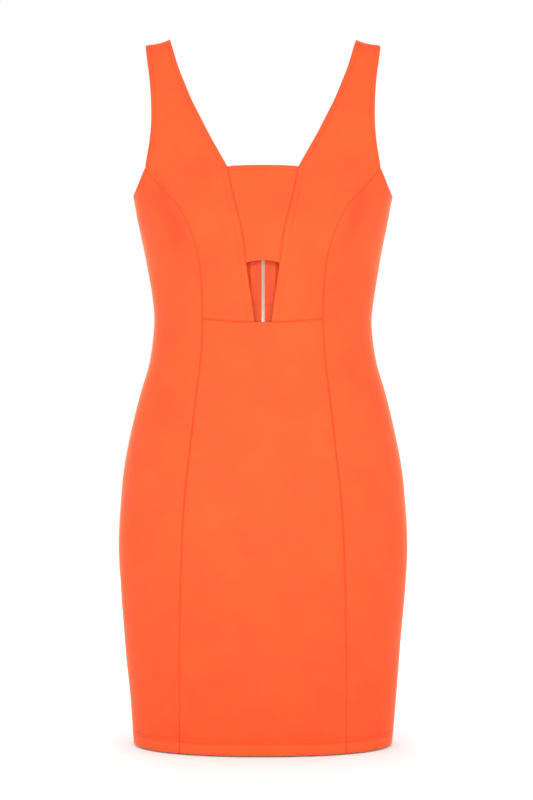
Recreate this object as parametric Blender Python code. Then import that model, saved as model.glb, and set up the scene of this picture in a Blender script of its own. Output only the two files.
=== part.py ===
"""Bodycon dress with an inset front panel, a cut-out below it and an exposed zip at the back.

Metres, +Z up.  The front faces -Y and "left" is -X.  The origin lies midway between the
two straps, at the height of the shoulder line that carries the dress.

Every cloth panel is a wall over one patch of the same outer form.  A place on the form is
an angle round the figure (0 at the centre line, 90 degrees at the side seam) and a drop
below the shoulder line, on the front or on the back.
"""

import math

import bmesh
import bpy
from mathutils import Matrix, Vector

# ---------------------------------------------------------------- driving dimensions
LENGTH = 0.840              # shoulder line to hem
WALL = 0.0015               # double knit cloth with its turned edges
SEAM_GAP = 0.0003           # between two panels that are sewn together

SHOULDER_ROLL = 0.034       # radius where the straps roll over the shoulder
ROLL_ANGLE = math.radians(62)
ROLL_DROP = SHOULDER_ROLL * (1 - math.cos(ROLL_ANGLE))
ROLL_DEPTH = SHOULDER_ROLL * math.sin(ROLL_ANGLE)
SHOULDER_SLOPE = 0.26       # fall of the shoulder line, outward
SHOULDER_LEVEL_X = 0.1205   # where the shoulder line crosses the origin's height
SHOULDER_FADE = 0.120       # drop at which that slope has died out

# Sections of the worn form: drop, half width, front depth, back depth, squareness.
SECTIONS = (
    (ROLL_DROP, 0.1750, ROLL_DEPTH, ROLL_DEPTH, 2.50),
    (0.050, 0.1725, 0.0460, 0.0480, 2.50),
    (0.100, 0.1675, 0.0680, 0.0715, 2.48),
    (0.157, 0.1605, 0.0875, 0.0855, 2.44),
    (0.186, 0.1550, 0.0965, 0.0870, 2.42),
    (0.224, 0.1480, 0.1055, 0.0845, 2.38),
    (0.267, 0.1396, 0.1045, 0.0785, 2.30),
    (0.310, 0.1324, 0.0975, 0.0725, 2.22),
    (0.340, 0.1302, 0.0945, 0.0705, 2.20),
    (0.382, 0.1354, 0.0970, 0.0755, 2.20),
    (0.425, 0.1475, 0.1020, 0.0875, 2.20),
    (0.483, 0.1614, 0.1070, 0.1050, 2.20),
    (0.540, 0.1694, 0.1085, 0.1150, 2.20),
    (0.605, 0.1725, 0.1080, 0.1160, 2.20),
    (0.670, 0.1694, 0.1060, 0.1095, 2.20),
    (0.756, 0.1617, 0.1035, 0.1000, 2.20),
    (LENGTH, 0.1546, 0.1015, 0.0950, 2.20),
)
HALF_WIDTH, FRONT_DEPTH, BACK_DEPTH, SQUARENESS = 1, 2, 3, 4

# The cups: how far they stand out of the plain form, where, and how far they reach.
BUST_RISE = 0.021
BUST_X = 0.086
BUST_DROP = 0.236
BUST_SPREAD = 0.040
BUST_ABOVE = 0.062
BUST_BELOW = 0.046

# Edges and seams on the +X side: drop, distance from the centre line.
FRONT_NECKLINE = (
    (0.000, 0.1115), (0.007, 0.1095), (0.038, 0.1002), (0.059, 0.0919), (0.080, 0.0829),
    (0.099, 0.0732), (0.119, 0.0631), (0.138, 0.0528), (0.159, 0.0411),
)
FRONT_ARMHOLE = (
    (0.000, 0.1409), (0.023, 0.1380), (0.045, 0.1350), (0.066, 0.1330), (0.087, 0.1320),
    (0.106, 0.1320), (0.125, 0.1336), (0.143, 0.1364), (0.157, 0.1389),
)
BACK_ARMHOLE = (
    (0.000, 0.1409), (0.025, 0.1370), (0.050, 0.1345), (0.075, 0.1330), (0.100, 0.1330),
    (0.125, 0.1350), (0.145, 0.1382), (0.157, 0.1412),
)
INSET_SEAM = (
    (0.159, 0.0411), (0.184, 0.0363), (0.219, 0.0277), (0.241, 0.0230), (0.268, 0.0199),
    (0.285, 0.0177), (0.316, 0.0130), (0.340, 0.0100),
)
PRINCESS_SEAM = (
    (0.157, 0.1389), (0.168, 0.1312), (0.185, 0.1173), (0.201, 0.1016), (0.222, 0.0891),
    (0.245, 0.0802), (0.269, 0.0741), (0.296, 0.0714), (0.335, 0.0705), (0.372, 0.0717),
    (0.425, 0.0778), (0.488, 0.0847), (0.545, 0.0909), (0.613, 0.0945), (0.683, 0.0967),
    (LENGTH, 0.0973),
)

CHEST_INNER = 0.159         # top corner of the inset panel
CHEST_OUTER = 0.157         # where the princess seam leaves the armhole
INSET_TOP_RISE = 0.0015     # the inset panel's top edge is highest at the centre
INSET_BOTTOM = 0.2723       # lower corners of the inset panel
INSET_BOTTOM_RISE = 0.0030
UNDERARM = 0.1864           # lowest point of the armhole, on the side seam
UNDERARM_SWEEP = 2.6        # how soon the armhole's lower curve levels out
FRONT_WAIST = 0.340         # waist seam at the centre front, its lowest point
FRONT_WAIST_RISE = 0.0048   # its rise to the princess seam
PRINCESS_WAIST = FRONT_WAIST - FRONT_WAIST_RISE
SIDE_WAIST = 0.324          # back waist seam at the side
BACK_WAIST = 0.3125         # back waist seam at the zip
BACK_NECK_WIDTH = 0.1115    # half width of the back scoop at the shoulder
BACK_NECK_DROP = 0.150
BACK_NECK_POWER = 2.4       # 2 would be an ellipse; more is squarer

# The zip: an opening in the centre back, two tapes behind it, a chain, a slider and its pull.
ZIP_OPENING = 0.0050        # half width
ZIP_END = 0.560
ZIP_END_TAPER = 0.005
TAPE_TOP = 0.1515
TAPE_BOTTOM = 0.565
TAPE_INNER = 0.0029
TAPE_OUTER = 0.0155
TAPE_WALL = 0.0010
TAPE_CLEARANCE = 0.0004      # between the cloth and the tape
TAPE_MIDDLE = WALL + TAPE_CLEARANCE + TAPE_WALL / 2
CHAIN_HALF_WIDTH = 0.0025
CHAIN_WALL = 0.0022
CHAIN_END = 0.559           # above the point where the two sides of the opening meet
SLIDER_DROP = 0.1595        # middle of the slider
SLIDER_HALF_LENGTH = 0.0055
SLIDER_SHOULDER = 0.0042    # half width across the two upper mouths
SLIDER_TAIL = 0.0031        # half width at the lower mouth
SLIDER_WAIST_LOW = -0.0008  # where the slider starts to widen, from its middle
SLIDER_WAIST_HIGH = 0.0020  # and where it reaches its full width
SLIDER_CORNER = 0.0010
SLIDER_PLATE = 0.0012
SLIDER_MOUTH = 0.0030       # space between its two plates
DIVIDER_HALF_WIDTH = 0.0014
DIVIDER_TIP = 0.0004        # half width at its lower end
DIVIDER_START = 0.0025      # above the slider's middle
DIVIDER_FLARE = 0.0012      # length over which it widens
CHAIN_STOP = 0.0021         # the chain ends this far above the slider's middle
CROWN_HALF_WIDTH = 0.0012
CROWN_HALF_LENGTH = 0.0040
CROWN_BAR = 0.0010
CROWN_CORNER = 0.0012
CROWN_HEIGHT = 0.0042
PULL_AXIS_RISE = 0.0016     # joint axis above the slider's outer plate
PULL_AXIS_LOWER = 0.0014    # and below the slider's middle
PULL_HALF_WIDTH = 0.0036
PULL_LENGTH = 0.0290
PULL_WALL = 0.0014
PULL_BAR = 0.0016           # bar that passes under the crown
PULL_CORNER = 0.0010
PULL_WINDOW_HALF_WIDTH = 0.0018
PULL_WINDOW_LENGTH = 0.0056
PULL_TAIL_HALF_WIDTH = 0.0026
PULL_TIP_HALF_WIDTH = 0.0014
PULL_TIP_LENGTH = 0.0012

# Rows and columns of each patch.
ROLL_ROWS = 3
STRAP_ROWS = 8
INSET_ROWS = 7
CUTOUT_ROWS = 4
BODICE_ROWS = INSET_ROWS + CUTOUT_ROWS
SCOOP_ROWS = 11
UNDERARM_ROWS = 4
SKIRT_ROWS = 25
ZIP_SKIRT_ROWS = 12
FRONT_BODICE_COLUMNS = 7
INSET_COLUMNS = 6
FRONT_SKIRT_COLUMNS = 10
SIDE_COLUMNS = 8
BACK_COLUMNS = 10

FRONT, BACK = -1, 1
SIDE_ANGLE = math.pi / 2
SHARP_ANGLE = math.radians(40)

CLOTH_COLOUR = (0.973, 0.156, 0.053, 1.0)
TAPE_COLOUR = (0.900, 0.130, 0.045, 1.0)
METAL_COLOUR = (0.780, 0.770, 0.760, 1.0)


# ---------------------------------------------------------------- the worn form
def smooth(rows, place, column=1):
    """Value of a table's column at a place, on a smooth curve through its rows."""
    last = len(rows) - 1
    place = min(max(place, rows[0][0]), rows[last][0])
    row = 0
    while row < last - 1 and rows[row + 1][0] < place:
        row += 1

    def slope(index):
        before, after = rows[max(index - 1, 0)], rows[min(index + 1, last)]
        return (after[column] - before[column]) / (after[0] - before[0])

    step = rows[row + 1][0] - rows[row][0]
    t = (place - rows[row][0]) / step
    return (rows[row][column] * (1 + 2 * t) * (1 - t) ** 2
            + rows[row + 1][column] * t * t * (3 - 2 * t)
            + slope(row) * step * t * (1 - t) ** 2
            + slope(row + 1) * step * t * t * (t - 1))


def form_depth(face, drop):
    """Depth of the form at the centre line; near the top it follows the round shoulder."""
    if drop < ROLL_DROP:
        return math.sqrt(SHOULDER_ROLL ** 2 - (SHOULDER_ROLL - drop) ** 2)
    return smooth(SECTIONS, drop, FRONT_DEPTH if face == FRONT else BACK_DEPTH)


def cup(x, drop):
    """How far a cup stands out of the plain front at one place."""
    reach = BUST_ABOVE if drop < BUST_DROP else BUST_BELOW
    across = (abs(x) - BUST_X) / BUST_SPREAD
    down = (drop - BUST_DROP) / reach
    return BUST_RISE * math.exp(-across * across - down * down)


def shoulder_tilt(x, drop):
    """Height that the sloping shoulder line adds to a level row."""
    left = max(0.0, 1 - drop / SHOULDER_FADE)
    return -SHOULDER_SLOPE * (abs(x) - SHOULDER_LEVEL_X) * left * left


def form_point(face, angle, drop):
    """Point of the outer form."""
    power = 2 / smooth(SECTIONS, drop, SQUARENESS)
    x = smooth(SECTIONS, drop, HALF_WIDTH) * math.copysign(abs(math.sin(angle)) ** power, angle)
    y = face * form_depth(face, drop) * abs(math.cos(angle)) ** power
    if face == FRONT:
        y -= cup(x, drop) * math.cos(angle)
    return Vector((x, y, shoulder_tilt(x, drop) - drop))


def form_normal(face, angle, drop):
    """Outward direction of the form, from its slopes round the figure and down it."""
    nudge, step = 0.002, 0.0005
    if abs(angle) > SIDE_ANGLE - nudge:
        around = Vector((0, -face * math.copysign(1, angle), 0))
    else:
        around = form_point(face, angle + nudge, drop) - form_point(face, angle - nudge, drop)
    if drop < step:
        down = Vector((0, face, 0))
    else:
        down = form_point(face, angle, drop + step) - form_point(face, angle, drop - step)
    normal = around.cross(down).normalized()
    return normal if face == BACK else -normal


def angle_at(x, drop):
    """Angle of the form at a distance from the centre line."""
    share = min(1.0, abs(x) / smooth(SECTIONS, drop, HALF_WIDTH))
    return math.copysign(math.asin(share ** (smooth(SECTIONS, drop, SQUARENESS) / 2)), x)


# ---------------------------------------------------------------- stations on edges and seams
def spaced(start, end, steps):
    """Evenly spaced values from start to end, both included."""
    return [start + (end - start) * i / steps for i in range(steps + 1)]


def joined(*runs):
    """Runs of values end to end, each shared end kept once."""
    values = list(runs[0])
    for run in runs[1:]:
        values += run[1:]
    return values


def on_table(table, drops):
    """Stations on an edge that a table gives."""
    return [(angle_at(smooth(table, drop), drop), drop) for drop in drops]


def at_angle(angle, drops):
    """Stations straight down the form."""
    return [(angle, drop) for drop in drops]


def roll_drops():
    """Drops of the rows that turn over the shoulder."""
    return [SHOULDER_ROLL * (1 - math.cos(turn)) for turn in spaced(0, ROLL_ANGLE, ROLL_ROWS)]


def across(start, end, columns, drop_of):
    """Stations from one edge to the other, at the drop that drop_of gives for each angle."""
    return [(angle, drop_of(angle)) for angle in spaced(start, end, columns)]


def underarm(kink, columns):
    """Stations of the armhole's lower curve, from the kink to the side seam."""
    return [(kink + (SIDE_ANGLE - kink) * share,
             UNDERARM - (UNDERARM - CHEST_OUTER) * (1 - share) ** UNDERARM_SWEEP)
            for share in spaced(0, 1, columns)]


SIDE_DROPS = joined(spaced(UNDERARM, SIDE_WAIST, BODICE_ROWS),
                    spaced(SIDE_WAIST, LENGTH, SKIRT_ROWS))
PRINCESS_DROPS = joined(spaced(CHEST_OUTER, PRINCESS_WAIST, BODICE_ROWS),
                        spaced(PRINCESS_WAIST, LENGTH, SKIRT_ROWS))
INSET_DROPS = spaced(CHEST_INNER, INSET_BOTTOM, INSET_ROWS)
ZIP_EDGE_DROPS = joined(spaced(BACK_WAIST, ZIP_END, ZIP_SKIRT_ROWS),
                        [ZIP_END, ZIP_END + ZIP_END_TAPER])
PRINCESS = on_table(PRINCESS_SEAM, PRINCESS_DROPS)
INSET = on_table(INSET_SEAM, INSET_DROPS)
SIDE = at_angle(SIDE_ANGLE, SIDE_DROPS)


def front_waist(angle):
    """Drop of the front waist seam."""
    edge = PRINCESS[BODICE_ROWS][0]
    return FRONT_WAIST - FRONT_WAIST_RISE * (angle / edge) ** 2


def back_waist(angle):
    """Drop of the back waist seam."""
    return BACK_WAIST + (SIDE_WAIST - BACK_WAIST) * (angle / SIDE_ANGLE) ** 2


# ---------------------------------------------------------------- building panels
def patch(left, right, top, bottom):
    """Rows of stations that fill the space between four edges."""
    rows, columns = len(left) - 1, len(top) - 1
    grid = []
    for i in range(rows + 1):
        t = i / rows
        row = []
        for j in range(columns + 1):
            s = j / columns
            row.append(tuple(
                (1 - s) * left[i][k] + s * right[i][k] + (1 - t) * top[j][k] + t * bottom[j][k]
                - (1 - s) * (1 - t) * left[0][k] - s * (1 - t) * right[0][k]
                - (1 - s) * t * left[rows][k] - s * t * right[rows][k]
                for k in (0, 1)))
        grid.append(row)
    return grid


def moves_off_seam(points, normals, rows, columns, along, inward):
    """Moves that take the edge points at the given rows and columns off their seam."""
    moves = {}
    last_row, last_column = len(points) - 1, len(points[0]) - 1
    for i in rows:
        for j in columns:
            before = points[max(i - along[0], 0)][max(j - along[1], 0)]
            after = points[min(i + along[0], last_row)][min(j + along[1], last_column)]
            direction = normals[i][j].cross(after - before).normalized()
            if direction.dot(points[i + inward[0]][j + inward[1]] - points[i][j]) < 0:
                direction = -direction
            moves[i, j] = direction * SEAM_GAP / 2
    return moves


def closed_wall(outer, inner):
    """Closed mesh between two grids of points."""
    mesh = bmesh.new()
    skins = [[[mesh.verts.new(point) for point in row] for row in grid] for grid in (outer, inner)]
    rows, columns = len(outer) - 1, len(outer[0]) - 1
    for skin in skins:
        for i in range(rows):
            for j in range(columns):
                mesh.faces.new((skin[i][j], skin[i][j + 1], skin[i + 1][j + 1], skin[i + 1][j]))
    rim = ([(0, j) for j in range(columns)] + [(i, columns) for i in range(rows)]
           + [(rows, j) for j in range(columns, 0, -1)] + [(i, 0) for i in range(rows, 0, -1)])
    for (i, j), (k, m) in zip(rim, rim[1:] + rim[:1]):
        mesh.faces.new((skins[0][i][j], skins[0][k][m], skins[1][k][m], skins[1][i][j]))
    bmesh.ops.recalc_face_normals(mesh, faces=mesh.faces)
    return mesh


def add_object(name, mesh, material):
    """Object from a bmesh, shaded smooth but for its sharp edges."""
    data = bpy.data.meshes.new(name)
    mesh.to_mesh(data)
    mesh.free()
    data.materials.append(material)
    data.shade_smooth()
    data.set_sharp_from_angle(angle=SHARP_ANGLE)
    thing = bpy.data.objects.new(name, data)
    bpy.context.collection.objects.link(thing)
    return thing


def cloth(name, face, grid, material, sewn=(), depth=0.0, wall=WALL, mirrored=False):
    """Cloth wall over a grid of stations.

    sewn names the seams as (edge, first, last): an edge and the stations on it that meet
    another panel.  depth is how far the outer side lies inside the form.
    """
    hand = -1 if mirrored else 1
    points = [[form_point(face, hand * angle, drop) for angle, drop in row] for row in grid]
    normals = [[form_normal(face, hand * angle, drop) for angle, drop in row] for row in grid]
    last_row, last_column = len(grid) - 1, len(grid[0]) - 1
    moves = []
    for edge, first, last in sewn:
        run = range(first, last + 1)
        rows, columns, along, inward = {
            "left": (run, (0,), (1, 0), (0, 1)),
            "right": (run, (last_column,), (1, 0), (0, -1)),
            "top": ((0,), run, (0, 1), (1, 0)),
            "bottom": ((last_row,), run, (0, 1), (-1, 0)),
        }[edge]
        moves.append(moves_off_seam(points, normals, rows, columns, along, inward))
    for move in moves:
        for (i, j), shift in move.items():
            points[i][j] = points[i][j] + shift
    outer = [[p - n * depth for p, n in zip(*pair)] for pair in zip(points, normals)]
    inner = [[p - n * (depth + wall) for p, n in zip(*pair)] for pair in zip(points, normals)]
    return add_object(name, closed_wall(outer, inner), material)


def both_sides(name, face, grid, material, **settings):
    """The same panel on the +X side and, mirrored, on the -X side."""
    cloth(name + "_right", face, grid, material, **settings)
    cloth(name + "_left", face, grid, material, mirrored=True, **settings)


def plain_material(name, colour, roughness, metallic=0.0):
    material = bpy.data.materials.new(name)
    material.use_nodes = True
    shader = material.node_tree.nodes["Principled BSDF"]
    shader.inputs["Base Color"].default_value = colour
    shader.inputs["Roughness"].default_value = roughness
    shader.inputs["Metallic"].default_value = metallic
    return material


# ---------------------------------------------------------------- the cloth panels
def front_inset_panel(material):
    """Narrow panel between the two cups; its lower edge is the top of the cut-out."""
    edge, foot = INSET[0][0], INSET[-1][0]
    mirror = [[(-angle, drop) for angle, drop in INSET], INSET]
    top = across(-edge, edge, INSET_COLUMNS,
                 lambda angle: CHEST_INNER - INSET_TOP_RISE * (1 - (angle / edge) ** 2))
    bottom = across(-foot, foot, INSET_COLUMNS,
                    lambda angle: INSET_BOTTOM - INSET_BOTTOM_RISE * (1 - (angle / foot) ** 2))
    cloth("front_inset_panel", FRONT, patch(*mirror, top, bottom), material,
          sewn=(("left", 0, INSET_ROWS), ("right", 0, INSET_ROWS)))


def front_bodice(material):
    """Strap and cup in one piece, from the shoulder seam to the waist seam."""
    strap = joined(roll_drops(), spaced(ROLL_DROP, CHEST_INNER, STRAP_ROWS))
    outer_strap = joined(roll_drops(), spaced(ROLL_DROP, CHEST_OUTER, STRAP_ROWS))
    chest = ROLL_ROWS + STRAP_ROWS
    last = chest + BODICE_ROWS
    cutout_foot = angle_at(smooth(INSET_SEAM, FRONT_WAIST), FRONT_WAIST)
    bottom = across(cutout_foot, PRINCESS[BODICE_ROWS][0], FRONT_BODICE_COLUMNS, front_waist)
    cutout = on_table(INSET_SEAM, spaced(INSET_BOTTOM, bottom[0][1], CUTOUT_ROWS))
    inner = joined(on_table(FRONT_NECKLINE, strap), INSET, cutout)
    outer = joined(on_table(FRONT_ARMHOLE, outer_strap), PRINCESS[:BODICE_ROWS + 1])
    inner[-1] = bottom[0]
    top = spaced_stations(inner[0], outer[0], FRONT_BODICE_COLUMNS)
    both_sides("front_bodice", FRONT, patch(inner, outer, top, bottom), material,
               sewn=(("top", 0, FRONT_BODICE_COLUMNS), ("bottom", 0, FRONT_BODICE_COLUMNS),
                     ("left", chest, chest + INSET_ROWS), ("right", chest, last)))


def side_front(material):
    """Side panel, in one piece from the armhole to the hem."""
    top = underarm(PRINCESS[0][0], SIDE_COLUMNS)
    bottom = spaced_stations(PRINCESS[-1], SIDE[-1], SIDE_COLUMNS)
    last = BODICE_ROWS + SKIRT_ROWS
    both_sides("side_front", FRONT, patch(PRINCESS, SIDE, top, bottom), material,
               sewn=(("left", 0, last), ("right", 0, last)))


def front_skirt_centre(material):
    """Middle of the skirt's front, between the princess seams."""
    right = PRINCESS[BODICE_ROWS:]
    left = [(-angle, drop) for angle, drop in right]
    top = across(left[0][0], right[0][0], FRONT_SKIRT_COLUMNS, front_waist)
    bottom = spaced_stations(left[-1], right[-1], FRONT_SKIRT_COLUMNS)
    cloth("front_skirt_centre", FRONT, patch(left, right, top, bottom), material,
          sewn=(("top", 0, FRONT_SKIRT_COLUMNS), ("left", 0, SKIRT_ROWS),
                ("right", 0, SKIRT_ROWS)))


def back_bodice(material):
    """Back strap and bodice, from the shoulder seam to the waist seam, open at the zip."""
    root = BACK_NECK_POWER / 2
    scoop_start = math.asin((ROLL_DROP / BACK_NECK_DROP) ** root)
    scoop_end = math.acos((ZIP_OPENING / BACK_NECK_WIDTH) ** root)
    turns = joined([math.asin((drop / BACK_NECK_DROP) ** root) for drop in roll_drops()],
                   spaced(scoop_start, scoop_end, SCOOP_ROWS))
    neckline = []
    for turn in turns:
        drop = BACK_NECK_DROP * math.sin(turn) ** (1 / root)
        neckline.append((angle_at(BACK_NECK_WIDTH * math.cos(turn) ** (1 / root), drop), drop))
    zip_drops = spaced(neckline[-1][1], BACK_WAIST, BODICE_ROWS)
    inner = joined(neckline, [(angle_at(ZIP_OPENING, drop), drop) for drop in zip_drops])
    armhole = joined(roll_drops(), spaced(ROLL_DROP, CHEST_OUTER, SCOOP_ROWS - UNDERARM_ROWS))
    armhole = on_table(BACK_ARMHOLE, armhole)
    armhole = joined(armhole, underarm(armhole[-1][0], UNDERARM_ROWS))
    outer = joined(armhole, SIDE[:BODICE_ROWS + 1])
    top = spaced_stations(inner[0], outer[0], BACK_COLUMNS)
    bottom = across(inner[-1][0], SIDE_ANGLE, BACK_COLUMNS, back_waist)
    inner[-1] = bottom[0]
    neck = ROLL_ROWS + SCOOP_ROWS
    both_sides("back_bodice", BACK, patch(inner, outer, top, bottom), material,
               sewn=(("top", 0, BACK_COLUMNS), ("bottom", 0, BACK_COLUMNS),
                     ("right", neck, neck + BODICE_ROWS)))


def back_skirt(material):
    """Half of the skirt's back, open along the zip and sewn to the other half below it."""
    seam_rows = SKIRT_ROWS - ZIP_SKIRT_ROWS - 1
    inner = [(angle_at(ZIP_OPENING, drop), drop) for drop in ZIP_EDGE_DROPS[:-1]]
    inner += at_angle(0.0, spaced(ZIP_EDGE_DROPS[-1], LENGTH, seam_rows))
    outer = SIDE[BODICE_ROWS:]
    top = across(inner[0][0], SIDE_ANGLE, BACK_COLUMNS, back_waist)
    inner[0] = top[0]
    bottom = spaced_stations(inner[-1], outer[-1], BACK_COLUMNS)
    both_sides("back_skirt", BACK, patch(inner, outer, top, bottom), material,
               sewn=(("top", 0, BACK_COLUMNS), ("right", 0, SKIRT_ROWS),
                     ("left", ZIP_SKIRT_ROWS + 1, SKIRT_ROWS)))


def spaced_stations(start, end, columns):
    """Stations evenly spaced between two."""
    return list(zip(spaced(start[0], end[0], columns), spaced(start[1], end[1], columns)))


# ---------------------------------------------------------------- the zip
def zip_strip(name, inner_x, outer_x, top, bottom, depth, wall, material, mirrored=False):
    """Strip that follows the centre back, behind the opening."""
    body = spaced(BACK_NECK_DROP, BACK_WAIST, BODICE_ROWS) + ZIP_EDGE_DROPS[1:-1]
    body = [drop for drop in body if top + TAPE_WALL < drop < bottom - TAPE_WALL]
    drops = [top] + body + [bottom]
    grid = [[(angle_at(x, drop), drop) for x in (inner_x, outer_x)] for drop in drops]
    cloth(name, BACK, grid, material, depth=depth, wall=wall, mirrored=mirrored)


def zip_tapes_and_chain(tape, metal):
    depth = TAPE_MIDDLE - TAPE_WALL / 2
    for name, mirrored in (("zip_tape_right", False), ("zip_tape_left", True)):
        zip_strip(name, TAPE_INNER, TAPE_OUTER, TAPE_TOP, TAPE_BOTTOM, depth, TAPE_WALL, tape,
                  mirrored)
    zip_strip("zip_chain", -CHAIN_HALF_WIDTH, CHAIN_HALF_WIDTH, SLIDER_DROP - CHAIN_STOP,
              CHAIN_END, TAPE_MIDDLE - CHAIN_WALL / 2, CHAIN_WALL, metal)


def zip_place(rise, lower):
    """Frame on the zip: X across, Y up the zip, Z outward; rise is outward, lower is down."""
    point = form_point(BACK, 0.0, SLIDER_DROP)
    outward = form_normal(BACK, 0.0, SLIDER_DROP)
    sideways = Vector((-1, 0, 0))
    upward = outward.cross(sideways)
    place = Matrix((sideways, upward, outward)).transposed().to_4x4()
    place.translation = point + outward * rise - upward * lower
    return place


def prism(name, outline, low, high, material, axis="Z"):
    """Closed prism over an outline in X and Y, or in Y and Z where its axis is X."""
    mesh = bmesh.new()
    turn = {"Z": lambda u, v, w: (u, v, w), "X": lambda u, v, w: (w, u, v)}[axis]
    face = mesh.faces.new([mesh.verts.new(turn(u, v, low)) for u, v in outline])
    raised = bmesh.ops.extrude_face_region(mesh, geom=[face])["geom"]
    moved = [item for item in raised if isinstance(item, bmesh.types.BMVert)]
    bmesh.ops.translate(mesh, verts=moved, vec=turn(0, 0, high - low))
    bmesh.ops.recalc_face_normals(mesh, faces=mesh.faces)
    return add_object(name, mesh, material)


def combine(thing, other, operation):
    """Join another solid to this one, or cut it out of it; the other becomes a guide."""
    change = thing.modifiers.new(operation.lower(), "BOOLEAN")
    change.operation = operation
    change.object = other
    other.parent = thing
    other.hide_render = True
    other.display_type = "WIRE"


def mirrored_outline(half):
    """Closed outline from its +X half, listed from bottom to top."""
    return half + [(-x, y) for x, y in reversed(half)]


def zip_slider(metal):
    """Two plates round the chain, a divider between the mouths and a crown for the pull."""
    upper = SLIDER_MOUTH / 2
    outline = mirrored_outline([
        (SLIDER_TAIL, -SLIDER_HALF_LENGTH), (SLIDER_TAIL, SLIDER_WAIST_LOW),
        (SLIDER_SHOULDER, SLIDER_WAIST_HIGH), (SLIDER_SHOULDER, SLIDER_HALF_LENGTH - SLIDER_CORNER),
        (SLIDER_SHOULDER - SLIDER_CORNER, SLIDER_HALF_LENGTH)])
    slider = prism("zip_slider", outline, upper, upper + SLIDER_PLATE, metal)
    lower = prism("slider_back_plate", outline, -upper - SLIDER_PLATE, -upper, metal)
    divider = prism("slider_divider", mirrored_outline([
        (DIVIDER_TIP, DIVIDER_START), (DIVIDER_HALF_WIDTH, DIVIDER_START + DIVIDER_FLARE),
        (DIVIDER_HALF_WIDTH, SLIDER_HALF_LENGTH)]),
        -upper - SLIDER_PLATE / 2, upper + SLIDER_PLATE / 2, metal)
    foot = upper + SLIDER_PLATE / 2
    crest = upper + SLIDER_PLATE + CROWN_HEIGHT
    arch = arch_outline(CROWN_HALF_LENGTH, foot, crest, CROWN_CORNER)
    hollow = arch_outline(CROWN_HALF_LENGTH - CROWN_BAR, foot, crest - CROWN_BAR,
                          CROWN_CORNER - CROWN_BAR / 2)
    crown = prism("slider_crown", arch + list(reversed(hollow)),
                  -CROWN_HALF_WIDTH, CROWN_HALF_WIDTH, metal, axis="X")
    for piece in (divider, lower, crown):
        combine(slider, piece, "UNION")
    slider.matrix_world = zip_place(-TAPE_MIDDLE, 0.0)


def arch_outline(half_length, foot, crest, corner):
    """Outline of an arch, from one foot over the crest to the other foot."""
    half = [(half_length, foot), (half_length, crest - corner), (half_length - corner, crest)]
    return [(-along, height) for along, height in half] + list(reversed(half))


def zip_pull(metal):
    """Flat tab that hangs from the crown; its origin is on the bar that it turns about."""
    top = PULL_BAR / 2
    foot = top - PULL_LENGTH
    pull = prism("zip_pull", mirrored_outline([
        (PULL_TIP_HALF_WIDTH, foot), (PULL_TAIL_HALF_WIDTH, foot + PULL_TIP_LENGTH),
        (PULL_HALF_WIDTH, top - PULL_WINDOW_LENGTH - 2 * PULL_BAR),
        (PULL_HALF_WIDTH, top - PULL_CORNER), (PULL_HALF_WIDTH - PULL_CORNER, top)]),
        -PULL_WALL / 2, PULL_WALL / 2, metal)
    window = prism("pull_window", mirrored_outline([
        (PULL_WINDOW_HALF_WIDTH, -top - PULL_WINDOW_LENGTH), (PULL_WINDOW_HALF_WIDTH, -top)]),
        -PULL_WALL, PULL_WALL, metal)
    combine(pull, window, "DIFFERENCE")
    plate = SLIDER_MOUTH / 2 + SLIDER_PLATE - TAPE_MIDDLE
    pull.matrix_world = zip_place(plate + PULL_AXIS_RISE, PULL_AXIS_LOWER)


def clear_scene():
    for thing in list(bpy.data.objects):
        bpy.data.objects.remove(thing, do_unlink=True)


def main():
    clear_scene()
    knit = plain_material("orange_double_knit", CLOTH_COLOUR, 0.75)
    tape = plain_material("orange_zip_tape", TAPE_COLOUR, 0.80)
    metal = plain_material("nickel_plated_brass", METAL_COLOUR, 0.30, 1.0)
    front_inset_panel(knit)
    front_bodice(knit)
    side_front(knit)
    front_skirt_centre(knit)
    back_bodice(knit)
    back_skirt(knit)
    zip_tapes_and_chain(tape, metal)
    zip_slider(metal)
    zip_pull(metal)


main()
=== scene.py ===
# %% [markdown]
# # An orange bodycon dress, seen as in a shop picture
# The real dress is cut from a firm double knit and sewn close to the figure: two straps that
# run down into the cups, a narrow panel set between them, a slim window below it, a skirt in
# five long pieces and a metal zip down the back.  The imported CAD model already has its
# shape, its size and the joint of the zip's pull tab.  This lesson opens that model as a fixed
# frame and lays the finished cloth, the sewing and the zip over it.

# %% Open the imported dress
import math

import bmesh
import bpy
import numpy as np
from mathutils import Matrix, Vector


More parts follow.
